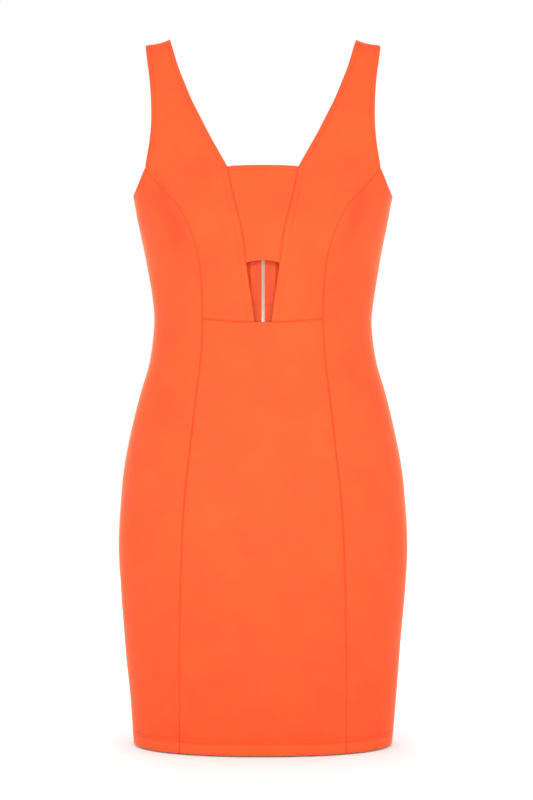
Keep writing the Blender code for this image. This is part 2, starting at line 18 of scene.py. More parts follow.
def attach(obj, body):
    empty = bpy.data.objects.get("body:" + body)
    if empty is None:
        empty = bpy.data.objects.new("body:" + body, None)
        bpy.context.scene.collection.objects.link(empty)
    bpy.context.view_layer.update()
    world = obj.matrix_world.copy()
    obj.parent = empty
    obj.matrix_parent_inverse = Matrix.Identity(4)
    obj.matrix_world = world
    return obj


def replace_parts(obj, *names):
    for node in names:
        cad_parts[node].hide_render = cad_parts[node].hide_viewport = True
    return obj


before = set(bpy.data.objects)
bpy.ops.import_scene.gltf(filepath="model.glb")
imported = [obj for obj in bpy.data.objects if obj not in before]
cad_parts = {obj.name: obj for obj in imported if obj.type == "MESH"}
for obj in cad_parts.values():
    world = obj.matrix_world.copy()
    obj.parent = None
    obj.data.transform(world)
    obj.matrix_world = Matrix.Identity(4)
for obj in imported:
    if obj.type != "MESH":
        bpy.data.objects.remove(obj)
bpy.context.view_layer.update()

# %% [markdown]
# ## The worn form
# Every cloth panel of the dress is a part of one skin: the outside of the worn dress.  The
# CAD source describes that skin by a few level sections (half width, depth to the front and
# to the back, how square it is) with two cups added.  A place on it is an angle round the
# figure, 0 at the centre line and 90 degrees at the side seam, and a drop below the shoulder
# line.  The same table is used here, so new cloth falls exactly where the CAD cloth is.  It
# could be read back from the CAD meshes instead, but those are only as fine as collision
# needs, and a fine sheet laid on them would show their facets.

# %% The form's sections and cups
LENGTH = 0.840
WALL = 0.0015
SHOULDER_ROLL = 0.034
ROLL_ANGLE = math.radians(62)
ROLL_DROP = SHOULDER_ROLL * (1 - math.cos(ROLL_ANGLE))
ROLL_DEPTH = SHOULDER_ROLL * math.sin(ROLL_ANGLE)
SHOULDER_SLOPE, SHOULDER_LEVEL_X, SHOULDER_FADE = 0.26, 0.1205, 0.120
FRONT, BACK = -1, 1
SIDE_ANGLE = math.pi / 2

# drop, half width, front depth, back depth, squareness
SECTIONS = np.array((
    (ROLL_DROP, 0.1750, ROLL_DEPTH, ROLL_DEPTH, 2.50),
    (0.050, 0.1725, 0.0460, 0.0480, 2.50), (0.100, 0.1675, 0.0680, 0.0715, 2.48),
    (0.157, 0.1605, 0.0875, 0.0855, 2.44), (0.186, 0.1550, 0.0965, 0.0870, 2.42),
    (0.224, 0.1480, 0.1055, 0.0845, 2.38), (0.267, 0.1396, 0.1045, 0.0785, 2.30),
    (0.310, 0.1324, 0.0975, 0.0725, 2.22), (0.340, 0.1302, 0.0945, 0.0705, 2.20),
    (0.382, 0.1354, 0.0970, 0.0755, 2.20), (0.425, 0.1475, 0.1020, 0.0875, 2.20),
    (0.483, 0.1614, 0.1070, 0.1050, 2.20), (0.540, 0.1694, 0.1085, 0.1150, 2.20),
    (0.605, 0.1725, 0.1080, 0.1160, 2.20), (0.670, 0.1694, 0.1060, 0.1095, 2.20),
    (0.756, 0.1617, 0.1035, 0.1000, 2.20), (LENGTH, 0.1546, 0.1015, 0.0950, 2.20),
))
HALF_WIDTH, FRONT_DEPTH, BACK_DEPTH, SQUARENESS = 1, 2, 3, 4
BUST_RISE, BUST_X, BUST_DROP = 0.021, 0.086, 0.236
BUST_SPREAD, BUST_ABOVE, BUST_BELOW = 0.040, 0.062, 0.046


def smooth(table, place, column=1):
    """A table's column at each place, on a smooth curve through the rows."""
    keys, values = table[:, 0], table[:, column]
    slopes = np.empty_like(values)
    slopes[0] = (values[1] - values[0]) / (keys[1] - keys[0])
    slopes[-1] = (values[-1] - values[-2]) / (keys[-1] - keys[-2])
    slopes[1:-1] = (values[2:] - values[:-2]) / (keys[2:] - keys[:-2])
    place = np.clip(place, keys[0], keys[-1])
    row = np.clip(np.searchsorted(keys, place) - 1, 0, len(keys) - 2)
    step = keys[row + 1] - keys[row]
    t = (place - keys[row]) / step
    return (values[row] * (1 + 2 * t) * (1 - t) ** 2 + values[row + 1] * t * t * (3 - 2 * t)
            + slopes[row] * step * t * (1 - t) ** 2 + slopes[row + 1] * step * t * t * (t - 1))


def form_point(face, angle, drop):
    """Points of the form on its front or back."""
    power = 2 / smooth(SECTIONS, drop, SQUARENESS)
    x = smooth(SECTIONS, drop, HALF_WIDTH) * np.copysign(np.abs(np.sin(angle)) ** power, angle)
    roll = np.sqrt(np.maximum(SHOULDER_ROLL ** 2 - (SHOULDER_ROLL - drop) ** 2, 0))
    plain = smooth(SECTIONS, drop, FRONT_DEPTH if face == FRONT else BACK_DEPTH)
    y = face * np.where(drop < ROLL_DROP, roll, plain) * np.abs(np.cos(angle)) ** power
    if face == FRONT:
        reach = np.where(drop < BUST_DROP, BUST_ABOVE, BUST_BELOW)
        y = y - BUST_RISE * np.cos(angle) * np.exp(
            -((np.abs(x) - BUST_X) / BUST_SPREAD) ** 2 - ((drop - BUST_DROP) / reach) ** 2)
    left = np.maximum(0, 1 - drop / SHOULDER_FADE)
    tilt = -SHOULDER_SLOPE * (np.abs(x) - SHOULDER_LEVEL_X) * left * left
    return np.stack([x, y, tilt - drop], axis=-1)


def unit(vectors):
    """The same directions, each of length one."""
    return vectors / np.maximum(np.linalg.norm(vectors, axis=-1, keepdims=True), 1e-12)


def form_normal(face, angle, drop):
    """Outward directions of the form."""
    nudge, step = 0.002, 0.0005
    zero = np.zeros_like(angle)
    inner = np.clip(angle, nudge - SIDE_ANGLE, SIDE_ANGLE - nudge)
    around = form_point(face, inner + nudge, drop) - form_point(face, inner - nudge, drop)
    sideways = np.stack([zero, -face * np.sign(angle), zero], axis=-1)
    around = np.where((np.abs(angle) > SIDE_ANGLE - nudge)[..., None], sideways, around)
    down = form_point(face, angle, drop + step) - form_point(face, angle, np.maximum(drop - step, 0))
    level = np.stack([zero, zero + face, zero], axis=-1)
    down = np.where((drop < step)[..., None], level, down)
    return face * unit(np.cross(around, down))


print("form: widest", round(2000 * SECTIONS[:, HALF_WIDTH].max()), "mm across, length", 1000 * LENGTH, "mm")

# %% [markdown]
# ## The seam plan
# A pattern cutter draws the dress flat; here its lines are drawn on the form.  Each line is a
# short table of drop and distance from the centre line on the right-hand side, and the left
# side is its mirror image.  The names are the ones a dressmaker uses: the princess seam runs
# from the armhole over the bust to the hem, and the inset seam holds the narrow panel.

# %% Seams and edges on the form
FRONT_NECKLINE = np.array((
    (0.000, 0.1115), (0.007, 0.1095), (0.038, 0.1002), (0.059, 0.0919), (0.080, 0.0829),
    (0.099, 0.0732), (0.119, 0.0631), (0.138, 0.0528), (0.159, 0.0411)))
FRONT_ARMHOLE = np.array((
    (0.000, 0.1409), (0.023, 0.1380), (0.045, 0.1350), (0.066, 0.1330), (0.087, 0.1320),
    (0.106, 0.1320), (0.125, 0.1336), (0.143, 0.1364), (0.157, 0.1389)))
BACK_ARMHOLE = np.array((
    (0.000, 0.1409), (0.025, 0.1370), (0.050, 0.1345), (0.075, 0.1330), (0.100, 0.1330),
    (0.125, 0.1350), (0.145, 0.1382), (0.157, 0.1412)))
INSET_SEAM = np.array((
    (0.159, 0.0411), (0.184, 0.0363), (0.219, 0.0277), (0.241, 0.0230), (0.268, 0.0199),
    (0.285, 0.0177), (0.316, 0.0130), (0.340, 0.0100)))
PRINCESS_SEAM = np.array((
    (0.157, 0.1389), (0.168, 0.1312), (0.185, 0.1173), (0.201, 0.1016), (0.222, 0.0891),
    (0.245, 0.0802), (0.269, 0.0741), (0.296, 0.0714), (0.335, 0.0705), (0.372, 0.0717),
    (0.425, 0.0778), (0.488, 0.0847), (0.545, 0.0909), (0.613, 0.0945), (0.683, 0.0967),
    (LENGTH, 0.0973)))
CHEST_INNER, CHEST_OUTER = 0.159, 0.157
INSET_TOP_RISE, INSET_BOTTOM, INSET_BOTTOM_RISE = 0.0015, 0.2723, 0.0030
UNDERARM, UNDERARM_SWEEP = 0.1864, 2.6
FRONT_WAIST, FRONT_WAIST_RISE = 0.340, 0.0048
SIDE_WAIST, BACK_WAIST = 0.324, 0.3125
BACK_NECK_WIDTH, BACK_NECK_DROP, NECK_ROOT = 0.1115, 0.150, 1.2
ZIP_OPENING, ZIP_END, ZIP_END_TAPER = 0.0050, 0.560, 0.005
TAPE_TOP, TAPE_BOTTOM, TAPE_INNER, TAPE_OUTER = 0.1515, 0.565, 0.0014, 0.0155
TAPE_DEPTH, TAPE_WALL = 0.0019, 0.0010
FINE = 120                      # samples on each run of an edge
ROLL_DROPS = SHOULDER_ROLL * (1 - np.cos(np.linspace(0, ROLL_ANGLE, FINE)))


def angle_at(x, drop):
    """Angles of the form at a distance from the centre line."""
    share = np.minimum(1, np.abs(x) / smooth(SECTIONS, drop, HALF_WIDTH))
    return np.copysign(np.arcsin(share ** (smooth(SECTIONS, drop, SQUARENESS) / 2)), x)


def at_drops(table, drop):
    """Stations (angle, drop) on a tabled line at some drops; on_table spaces them evenly."""
    return np.column_stack([angle_at(smooth(table, drop), drop), drop])


def on_table(table, start, end):
    """Stations on a tabled line between two drops."""
    return at_drops(table, np.linspace(start, end, FINE))


def at_x(x, start, end):
    """Stations straight down at one distance from the centre line."""
    drop = np.linspace(start, end, FINE)
    return np.column_stack([angle_at(np.full(FINE, x), drop), drop])


def side_line(start, end):
    """Stations down the side seam."""
    return np.column_stack([np.full(FINE, SIDE_ANGLE), np.linspace(start, end, FINE)])


def level(start, end, drop):
    """Stations from one angle to another, at one drop or at the drop that a function gives."""
    angle = np.linspace(start, end, FINE)
    return np.column_stack([angle, drop(angle) if callable(drop) else np.full(FINE, drop)])


def joined(runs, breaks=(0.0, 1.0)):
    """One edge from several runs of stations; run k spans breaks[k] to breaks[k + 1]."""
    spans = zip(runs, breaks, breaks[1:])
    places = np.concatenate([np.linspace(start, end, len(run)) for run, start, end in spans])
    return places, np.concatenate(runs)


princess_top, princess_waist = on_table(PRINCESS_SEAM, CHEST_OUTER, FRONT_WAIST - FRONT_WAIST_RISE)[[0, -1]]
hem_princess = on_table(PRINCESS_SEAM, CHEST_OUTER, LENGTH)[-1]


def front_waist(angle):
    """Drop of the front waist seam."""
    return FRONT_WAIST - FRONT_WAIST_RISE * (angle / princess_waist[0]) ** 2


def back_waist(angle):
    """Drop of the back waist seam."""
    return BACK_WAIST + (SIDE_WAIST - BACK_WAIST) * (angle / SIDE_ANGLE) ** 2


def underarm(kink):
    """Stations of the armhole's lower curve, from its kink to the side seam."""
    share = np.linspace(0, 1, FINE)
    return np.column_stack([kink + (SIDE_ANGLE - kink) * share,
                            UNDERARM - (UNDERARM - CHEST_OUTER) * (1 - share) ** UNDERARM_SWEEP])


print("seam plan ready; the princess seam meets the waist", round(1000 * princess_waist[1], 1), "mm down")

# %% [markdown]
# ## How each edge is finished
# Cloth edges are what make a garment look sewn.  Where two panels meet, the cloth rolls into
# the seam and leaves a small ditch.  A free edge (neckline, armhole, window) is turned in
# and topstitched, so it is a little thicker up to the stitches, which pull a groove.  The hem
# has two rows of stitches.  One table of profiles holds all this: the depth of the outer side
# at each distance from the edge.  The stitch distances were measured on the picture.

# %% Edge profiles, in metres from the edge
# where the stitches run, and at how many millimetres from the edge the grid has its lines
STITCH_AT = {"sewn": (), "turned": (0.0055,), "pressed": (0.0070,), "window": (0.0072,),
             "zip": (0.0034,), "hem": (0.0130, 0.0174), "short": (0.0045,), "tape": ()}
TURNED = ("turned", "window", "zip", "hem", "short")
LANES = {"sewn": (0.0, .35, .9, 1.8, 3.2, 5.2), "turned": (0.0, .35, .9, 2.4, 4.0, 4.8, 5.5, 6.2, 7.4),
         "pressed": (0.0, .35, .9, 1.8, 3.4, 5.2, 6.3, 7.0, 7.7, 9.0),
         "window": (0.0, .35, .9, 2.4, 5.2, 6.5, 7.2, 7.9, 9.0),
         "zip": (0.0, .35, .9, 1.8, 2.7, 3.4, 4.1, 5.4),
         "short": (0.0, .35, .9, 2.0, 3.8, 4.5, 5.2, 6.6),
         "tape": (0.0, .4, 1.4, 3.0, 3.6, 4.2, 6.6, 7.4, 8.2),
         "hem": (0.0, .35, .9, 3.0, 6.5, 10.0, 12.3, 13.0, 13.7, 15.2, 16.7, 17.4, 18.1, 19.5, 22.0)}
DITCH_DEPTH, DITCH_WIDTH = 0.00078, 0.0011
SOFT_DEPTH, SOFT_WIDTH = 0.00024, 0.0036
LIP = 0.0009                    # a turned edge rounds off over this distance
LIP_DEPTH, TAPE_LIP_DEPTH = 0.00062, 0.0003
TURN_RISE, TURN_FADE = 0.00018, 0.0016  # the turned allowance makes the edge this much thicker
GROOVE_DEPTH, GROOVE_WIDTH = 0.00026, 0.0008


def ditch(away):
    """Depth of the outer side beside a sewn seam."""
    return (DITCH_DEPTH * np.exp(-(away / DITCH_WIDTH) ** 2)
            + SOFT_DEPTH * np.exp(-(away / SOFT_WIDTH) ** 2))


def lip(away):
    """Share by which a turned edge has rounded off."""
    return np.clip(1 - away / LIP, 0, 1) ** 2


def outer_profile(kind, away):
    """Depth of the outer side at each distance from an edge of this kind."""
    if kind == "tape":
        return TAPE_LIP_DEPTH * lip(away)
    depth = LIP_DEPTH * lip(away) if kind in TURNED else ditch(away)
    for line in STITCH_AT[kind]:
        depth = depth + GROOVE_DEPTH * np.exp(-((away - line) / GROOVE_WIDTH) ** 2)
    if kind != "sewn":
        double = np.clip((STITCH_AT[kind][-1] + TURN_FADE - away) / TURN_FADE, 0, 1)
        depth = depth - TURN_RISE * double * np.clip(away / LIP, 0, 1)
    return depth


for kind in STITCH_AT:
    print(kind, "edge depth at the seam:", round(1000 * float(outer_profile(kind, np.array(0.0))), 2), "mm")

# %% [markdown]
# ## A panel and its grid
# Four edges bound each panel, and the space between them is filled by blending the edges,
# as a spring blind fills a crooked window frame.  A real maker would drape the cloth; here
# the worn shape is already known, so the sheet is laid on it directly and no simulation
# is needed.  The grid lines crowd together near the edges, at the distances where the
# profile above bends, so that ditches and grooves are true form and not only a picture.
# For that, each panel keeps maps of how far every place in it is from each of its edges.

# %% Filling a panel between its four edges
SIDES = ("left", "right", "top", "bottom")
ENDS_OF = {side: SIDES[2:] if side in SIDES[:2] else SIDES[:2] for side in SIDES}
SAMPLES = 241
CLOTH_SPACING, TAPE_SPACING = 0.0046, 0.0020    # of the grid inside a panel and inside a tape
LANE_SHARE = 0.42               # the lines beside an edge take at most this share of the panel


def along(edge, place):
    """Stations of an edge at each place from 0 to 1."""
    knots, stations = edge
    return np.stack([np.interp(place, knots, stations[:, k]) for k in (0, 1)], axis=-1)


def station(panel, s, t):
    """Angle and drop inside the panel; s runs across it and t down it."""
    left, right, top, bottom = (panel["edges"][side] for side in SIDES)
    u, v = s[..., None], t[..., None]
    first, last = left[1][0], left[1][-1]
    return ((1 - u) * along(left, t) + u * along(right, t)
            + (1 - v) * along(top, s) + v * along(bottom, s)
            - (1 - u) * (1 - v) * first - u * (1 - v) * right[1][0]
            - (1 - u) * v * last - u * v * right[1][-1])


def lookup(values, s, t):
    """Value of a sampled map at each place, between its samples."""
    x, y = np.clip(s, 0, 1) * (SAMPLES - 1), np.clip(t, 0, 1) * (SAMPLES - 1)
    i, j = np.minimum(y.astype(int), SAMPLES - 2), np.minimum(x.astype(int), SAMPLES - 2)
    a, b = x - j, y - i
    return ((1 - b) * ((1 - a) * values[i, j] + a * values[i, j + 1])
            + b * ((1 - a) * values[i + 1, j] + a * values[i + 1, j + 1]))


def nearest(points, edge):
    """Distance of every point from an edge, and the place on the edge, 0 to 1, that is nearest."""
    close = np.argmin((edge ** 2).sum(axis=1) - 2 * points @ edge.T, axis=-1)
    gap, place = np.full(close.shape, np.inf), np.zeros(close.shape)
    for before in (1, 0):
        first = np.clip(close - before, 0, len(edge) - 2)
        start, run = edge[first], edge[first + 1] - edge[first]
        share = np.clip(((points - start) * run).sum(axis=-1) / (run ** 2).sum(axis=-1), 0, 1)
        off = np.linalg.norm(points - start - share[..., None] * run, axis=-1)
        place = np.where(off < gap, (first + share) / (len(edge) - 1), place)
        gap = np.minimum(gap, off)
    return gap, place


def on_form(panel, spots):
    """Points of the plain form at stations of a panel."""
    return form_point(panel["face"], spots[..., 0], spots[..., 1])


def aside_of(panel, side, place):
    """Direction in the surface at right angles to an edge, at each place along it."""
    edge, nudge = panel["edges"][side], 0.002
    spots, before, after = (along(edge, np.clip(place + step, 0, 1)) for step in (0, -nudge, nudge))
    outward = form_normal(panel["face"], spots[..., 0], spots[..., 1])
    return unit(np.cross(outward, on_form(panel, after) - on_form(panel, before)))


def in_from(panel, side, away, place):
    """Stations at a distance straight in from an edge, found by Newton's method on the form."""
    face, step = panel["face"], 0.0005
    spots = along(panel["edges"][side], place)
    goal = on_form(panel, spots) + panel["turn"][side] * away[..., None] * aside_of(panel, side, place)
    angle, drop = spots[..., 0], spots[..., 1]
    for _ in range(10):
        less, more = np.maximum(angle - step, -SIDE_ANGLE), np.minimum(angle + step, SIDE_ANGLE)
        above, below = np.maximum(drop - step, 0), drop + step
        around = (form_point(face, more, drop) - form_point(face, less, drop)) / (more - less)[..., None]
        down = (form_point(face, angle, below) - form_point(face, angle, above)) / (below - above)[..., None]
        miss = goal - form_point(face, angle, drop)
        a, b, c = ((one * two).sum(axis=-1) for one, two in ((around, around), (around, down), (down, down)))
        p, q = (miss * around).sum(axis=-1), (miss * down).sum(axis=-1)
        angle = np.clip(angle + (c * p - b * q) / (a * c - b * b), -SIDE_ANGLE, SIDE_ANGLE)
        drop = np.maximum(drop + (a * q - b * p) / (a * c - b * b), 0)
    return np.stack([angle, drop], axis=-1)


def from_others(panel, side, start, end, spots):
    """Distance of stations from all of the panel's outline but one stretch of one side."""
    fine = np.linspace(0, 1, SAMPLES)
    own = along(panel["edges"][side], fine)
    others = [along(panel["edges"][other], fine) for other in ENDS_OF[side]]
    others += [part for part in (own[fine < start], own[fine > end]) if len(part) > 1]
    points = on_form(panel, spots)
    return np.min([nearest(points, on_form(panel, edge))[0] for edge in others], axis=0)


def measured(panel):
    """Add the panel's maps: the distance from each edge and the nearest place on it."""
    fine = np.linspace(0, 1, SAMPLES)
    points = on_form(panel, station(panel, *np.meshgrid(fine, fine)))
    rims = {"left": (points[:, 0], points[:, 1]), "right": (points[:, -1], points[:, -2]),
            "top": (points[0], points[1]), "bottom": (points[-1], points[-2])}
    panel.update({"away": {}, "place": {}, "turn": {}})
    for side, (edge, inner) in rims.items():
        panel["away"][side], panel["place"][side] = nearest(points, edge)
        inward = (aside_of(panel, side, fine) * (inner - edge)).sum()
        panel["turn"][side] = 1 if inward > 0 else -1
    panel["run"] = {side: float(panel["away"][ends[0]].max()) for side, ends in ENDS_OF.items()}
    return panel


def lanes_of(panel, side):
    """Distances from one edge at which grid lines run."""
    kinds = {kind for start, end, kind in panel["finish"][side]}
    return np.array(sorted({value for kind in kinds for value in LANES[kind]})) / 1000


def corners_of(panel, first):
    """Places down or across the panel where an edge changes its finish or turns a corner."""
    ends = {end for side in ENDS_OF[first] for start, end, kind in panel["finish"][side]}
    return sorted(end for end in ends if end < 1)


def lines(panel, first, second):
    """Places of all grid lines that run along two opposite edges, one row for each sample."""
    near, far = lanes_of(panel, first), lanes_of(panel, second)
    maps = [panel["away"][side] if first == "left" else panel["away"][side].T for side in (first, second)]
    fine, corners = np.linspace(0, 1, SAMPLES), corners_of(panel, first)
    steps = [max(1, int(round((end - start) * np.max(maps[0]) / panel["spacing"])))
             for start, end in zip([0.0] + corners, corners + [1.0])]
    rows = []
    for here, back in zip(*maps):
        here, back = np.maximum.accumulate(here), np.maximum.accumulate(back[::-1])[::-1]
        low = np.interp(near * min(1, LANE_SHARE * here[-1] / near[-1]), here, fine)
        high = np.interp(far * min(1, LANE_SHARE * back[0] / far[-1]), back[::-1], fine[::-1])[::-1]
        stops = [np.interp(place, fine, here) for place in [low[-1]] + corners + [high[0]]]
        middle = [np.linspace(start, end, count + 1)[1:]
                  for start, end, count in zip(stops, stops[1:], steps)]
        middle = np.interp(np.concatenate(middle)[:-1], here, fine)
        rows.append(np.concatenate([low, middle, high]))
    return np.array(rows)


def laid_grid(panel):
    """Places (s, t) of the panel's grid, where its two families of lines cross."""
    across, down = lines(panel, "left", "right"), lines(panel, "top", "bottom")
    fine = np.linspace(0, 1, SAMPLES)
    s = np.repeat(across[SAMPLES // 2][None, :], down.shape[1], axis=0)
    t = np.repeat(down[SAMPLES // 2][:, None], across.shape[1], axis=1)
    for _ in range(4):
        s = np.stack([np.interp(t[:, j], fine, across[:, j]) for j in range(across.shape[1])], axis=1)
        t = np.stack([np.interp(s[i], fine, down[:, i]) for i in range(down.shape[1])], axis=0)
    return s, t


print("panels are mapped at", SAMPLES, "x", SAMPLES, "places, laid in", 1000 * CLOTH_SPACING, "mm steps")

# %% [markdown]
# ## Cloth that has been worn smooth
# A fitted knit shows few folds, but it is never as even as a moulding: it keeps slow waves a
# few tenths of a millimetre high, and it drags softly where it is pulled, at the underarm, below
# the bust, at the waist and across the hips.  The creases are listed one by one, each as a long
# soft trough with its own length, width and depth.  A cloth simulation could draw them, but
# not at the places where the picture has them.

# %% Waves and creases
# turns per metre along x, y and z, phase, height in metres
WAVES = np.array((
    (7.0, 4.0, 5.0, 0.4, 0.00022), (-5.0, 9.0, 8.0, 2.1, 0.00018), (12.0, -6.0, 4.0, 4.0, 0.00014),
    (3.0, 11.0, -13.0, 1.2, 0.00012), (17.0, 5.0, 9.0, 5.3, 0.00008)))
# face, x, drop, heading (0 across, 90 down), half length, half width, depth
CREASES = np.array((
    (FRONT, -0.108, 0.216, 70, 0.042, 0.0145, 0.0054), (FRONT, 0.109, 0.214, -69, 0.040, 0.0150, 0.0050),
    (FRONT, -0.118, 0.214, 28, 0.026, 0.0055, 0.00050), (FRONT, 0.121, 0.219, -22, 0.022, 0.0050, 0.00042),
    (FRONT, -0.112, 0.236, 14, 0.024, 0.0060, 0.00036), (FRONT, 0.110, 0.243, -9, 0.027, 0.0065, 0.00040),
    (FRONT, -0.052, 0.322, 12, 0.020, 0.0045, 0.00030), (FRONT, 0.046, 0.318, -17, 0.023, 0.0050, 0.00034),
    (FRONT, -0.098, 0.352, 6, 0.030, 0.0060, 0.00050), (FRONT, 0.104, 0.347, -8, 0.026, 0.0055, 0.00046),
    (FRONT, -0.060, 0.366, 4, 0.033, 0.0060, 0.00032), (FRONT, 0.022, 0.371, -3, 0.038, 0.0065, 0.00028),
    (FRONT, 0.118, 0.412, -14, 0.028, 0.0070, 0.00040), (FRONT, -0.124, 0.424, 17, 0.024, 0.0070, 0.00036),
    (BACK, -0.070, 0.292, 7, 0.034, 0.0060, 0.00070), (BACK, 0.064, 0.288, -6, 0.038, 0.0065, 0.00074),
    (BACK, -0.052, 0.330, -5, 0.036, 0.0060, 0.00062), (BACK, 0.059, 0.334, 4, 0.031, 0.0060, 0.00056),
    (BACK, -0.092, 0.348, 9, 0.028, 0.0055, 0.00060), (BACK, 0.090, 0.354, -11, 0.033, 0.0060, 0.00058),
    (BACK, -0.048, 0.362, 3, 0.030, 0.0065, 0.00044), (BACK, 0.040, 0.371, -4, 0.027, 0.0060, 0.00040),
    (BACK, -0.104, 0.232, -18, 0.026, 0.0060, 0.00048), (BACK, 0.107, 0.226, 21, 0.024, 0.0055, 0.00052),
    (BACK, -0.058, 0.602, 3, 0.040, 0.0080, 0.00040), (BACK, 0.066, 0.610, -5, 0.036, 0.0080, 0.00036),
    (BACK, 0.040, 0.640, -2, 0.046, 0.0085, 0.00034), (BACK, -0.034, 0.652, 4, 0.038, 0.0085, 0.00030),
))
# a strap sags a little between its edges where it turns over the shoulder
STRAP_MIDDLE, STRAP_HALF, STRAP_SAG, STRAP_FADE, STRAP_LOWEST = 0.1235, 0.0125, 0.0012, 0.022, -0.04
SIDE_FADE = 0.020               # creases die out this near the side seam, where front meets back


def drape(face, points):
    """How far waves and creases lift the cloth off the plain form."""
    lift = np.zeros(points.shape[:-1])
    from_middle = (np.abs(points[..., 0]) - STRAP_MIDDLE) / STRAP_HALF
    sag = np.clip(1 - from_middle ** 2, 0, 1) * np.exp(-(points[..., 1] / STRAP_FADE) ** 2)
    lift -= STRAP_SAG * sag * (points[..., 2] > STRAP_LOWEST)
    for fx, fy, fz, phase, height in WAVES:
        turn = 2 * math.pi * (fx * points[..., 0] + fy * points[..., 1] + fz * points[..., 2])
        lift += height * np.sin(turn + phase)
    from_side = np.clip(np.abs(points[..., 1]) / SIDE_FADE, 0, 1)
    for side, x, drop, heading, length, width, depth in CREASES:
        if side != face:
            continue
        run = math.radians(heading)
        dx, dz = points[..., 0] - x, -points[..., 2] - drop
        far = (dx * math.cos(run) + dz * math.sin(run)) / length
        off = (dz * math.cos(run) - dx * math.sin(run)) / width
        lift -= depth * from_side * np.exp(-far ** 2) * (np.exp(-off ** 2) - 0.5 * np.exp(-(off / 2) ** 2))
    return lift


print(len(CREASES), "creases placed by hand,", len(WAVES), "slow waves")

# %% Outer and inner side of a panel
PUCKER, PUCKER_LENGTH, PUCKER_REACH = 0.00007, 0.011, 0.007
THINNEST, LEAST_WALL = 0.00035, 0.0002
INNER_LIP = 0.00045             # a turned edge is rounded by this much on its inner side too


def finishes(panel):
    """Side, start, end and kind of every finished stretch of the outline."""
    return [(side, *stretch) for side in SIDES for stretch in panel["finish"][side]]


def stretches(panel, s, t):
    """The same with each place's distance, where it is along the edge, and if it belongs there."""
    for side in SIDES:
        away, place = lookup(panel["away"][side], s, t), lookup(panel["place"][side], s, t)
        for start, end, kind in panel["finish"][side]:
            yield side, kind, away, place, (place >= start) & (place < end)


def pucker(panel, side, away, place):
    """Small ripples that the sewing draws along an edge, no two quite alike."""
    along_it = place * panel["run"][side]
    ripple = np.sin(2 * math.pi * along_it / PUCKER_LENGTH + 5 * np.sin(along_it * 40))
    return PUCKER * ripple * np.exp(-(away / PUCKER_REACH) ** 2)


def outer_depth(panel, s, t):
    """Depth of the panel's outer side below the plain form."""
    depth = np.zeros(s.shape)
    for side, kind, away, place, here in stretches(panel, s, t):
        depth += np.where(here, outer_profile(kind, away) + pucker(panel, side, away, place), 0)
    return panel["below"] + np.minimum(depth, panel["wall"] - THINNEST)


def inner_depth(panel, s, t):
    """Depth of the inner side: the wall, thinned where a turned edge rounds off."""
    depth = np.full(s.shape, panel["below"] + panel["wall"])
    for _, kind, away, _, here in stretches(panel, s, t):
        if kind in TURNED:
            depth -= np.where(here, INNER_LIP * lip(away), 0)
    return np.maximum(depth, outer_depth(panel, s, t) + LEAST_WALL)


def placed(panel, spots, depth):
    """Points at a depth below the draped form at each station, and the outward direction there."""
    angle, drop = panel["hand"] * spots[..., 0], spots[..., 1]
    points = form_point(panel["face"], angle, drop)
    outward = form_normal(panel["face"], angle, drop)
    lift = drape(panel["face"], points) - depth
    return points + outward * lift[..., None], outward


def laid(panel, s, t, depth):
    """The same for places (s, t) of the panel."""
    return placed(panel, station(panel, s, t), depth)


print("cloth wall", 1000 * WALL, "mm, never thinner than", 1000 * LEAST_WALL, "mm")

# %% [markdown]
# ## Colours and nodes
# Every colour in this file is written as the hex value that a picture editor would show,
# and Blender wants linear light, so one function does the conversion.  A second one adds a
# shader node, sets its values and links it, which keeps each material short enough to read.

# %% Two helpers for materials
def linear(code):
    """Linear colour from an sRGB hex value."""
    shares = [int(code[k:k + 2], 16) / 255 for k in (1, 3, 5)]
    return tuple(c / 12.92 if c <= 0.04045 else ((c + 0.055) / 1.055) ** 2.4 for c in shares) + (1.0,)


def add_node(material, kind, values=None, links=None, **settings):
    """A new shader node; values sets its inputs, links joins inputs to other nodes' outputs."""
    node = material.node_tree.nodes.new(kind)
    for name, value in settings.items():
        setattr(node, name, value)
    for name, value in (values or {}).items():
        node.inputs[name].default_value = value
    for name, output in (links or {}).items():
        material.node_tree.links.new(output, node.inputs[name])
    return node


def new_material(name, **shader_values):
    """A material with its Principled shader's constants set."""
    material = bpy.data.materials.new(name)
    material.use_nodes = True
    shader = material.node_tree.nodes["Principled BSDF"]
    for socket, value in shader_values.items():
        shader.inputs[socket.replace("_", " ")].default_value = value
    return material, shader


print("a middle grey in linear light:", linear("#808080"))

# %% [markdown]
# ## The double knit
# Double knit (ponte, in viscose and polyester with some elastane) is knitted on two beds of
# needles, so both sides are smooth and it is thick and matt, with a soft pale bloom where the
# surface turns away.  Its columns of stitches, the wales, stand 0.9 mm apart, and its
# rows, the courses, 0.65 mm.  Both are finer than one picture point, so they are drawn at
# 1.3 and 1.1 mm and very low: they read as a fine grain when one looks closely and
# vanish at a distance, as they do in the picture.  The shade also wanders slowly by one or two
# per cent, from steaming and handling.  Shade is painted into the colour in the seams, the
# stitch grooves and the hollows that the creases and the sagging straps leave, where the cloth
# turns in and gets less light.  The hem, which lies double and is pressed flat, gets a painted
# lighter band, which stands in for its pressing sheen and lifts the shade near the floor.

# %% Double knit, orange
WALE, COURSE = 0.0013, 0.0011   # drawn a little coarser than the real 0.9 and 0.65 mm
# the third colour is painted shade, mixed in where seams, stitch grooves and crease hollows lie deep
KNIT, KNIT_SHADE, KNIT_PAINTED_SHADE = linear("#DC491B"), linear("#D64419"), linear("#961F0D")
# a painted lighter tone for the hem band: painted sheen of the pressed double cloth, which also lifts the
# shade near the floor
KNIT_PAINTED_LIGHT = linear("#E04E1E")

# matt double knit of viscose, polyester and elastane, with a pale bloom of short fibre ends
double_knit, knit_shader = new_material(
    "double_knit_orange", Roughness=0.85, Sheen_Weight=0.26, Sheen_Roughness=0.34,
    Sheen_Tint=linear("#FFD09A"), Specular_IOR_Level=0.30)


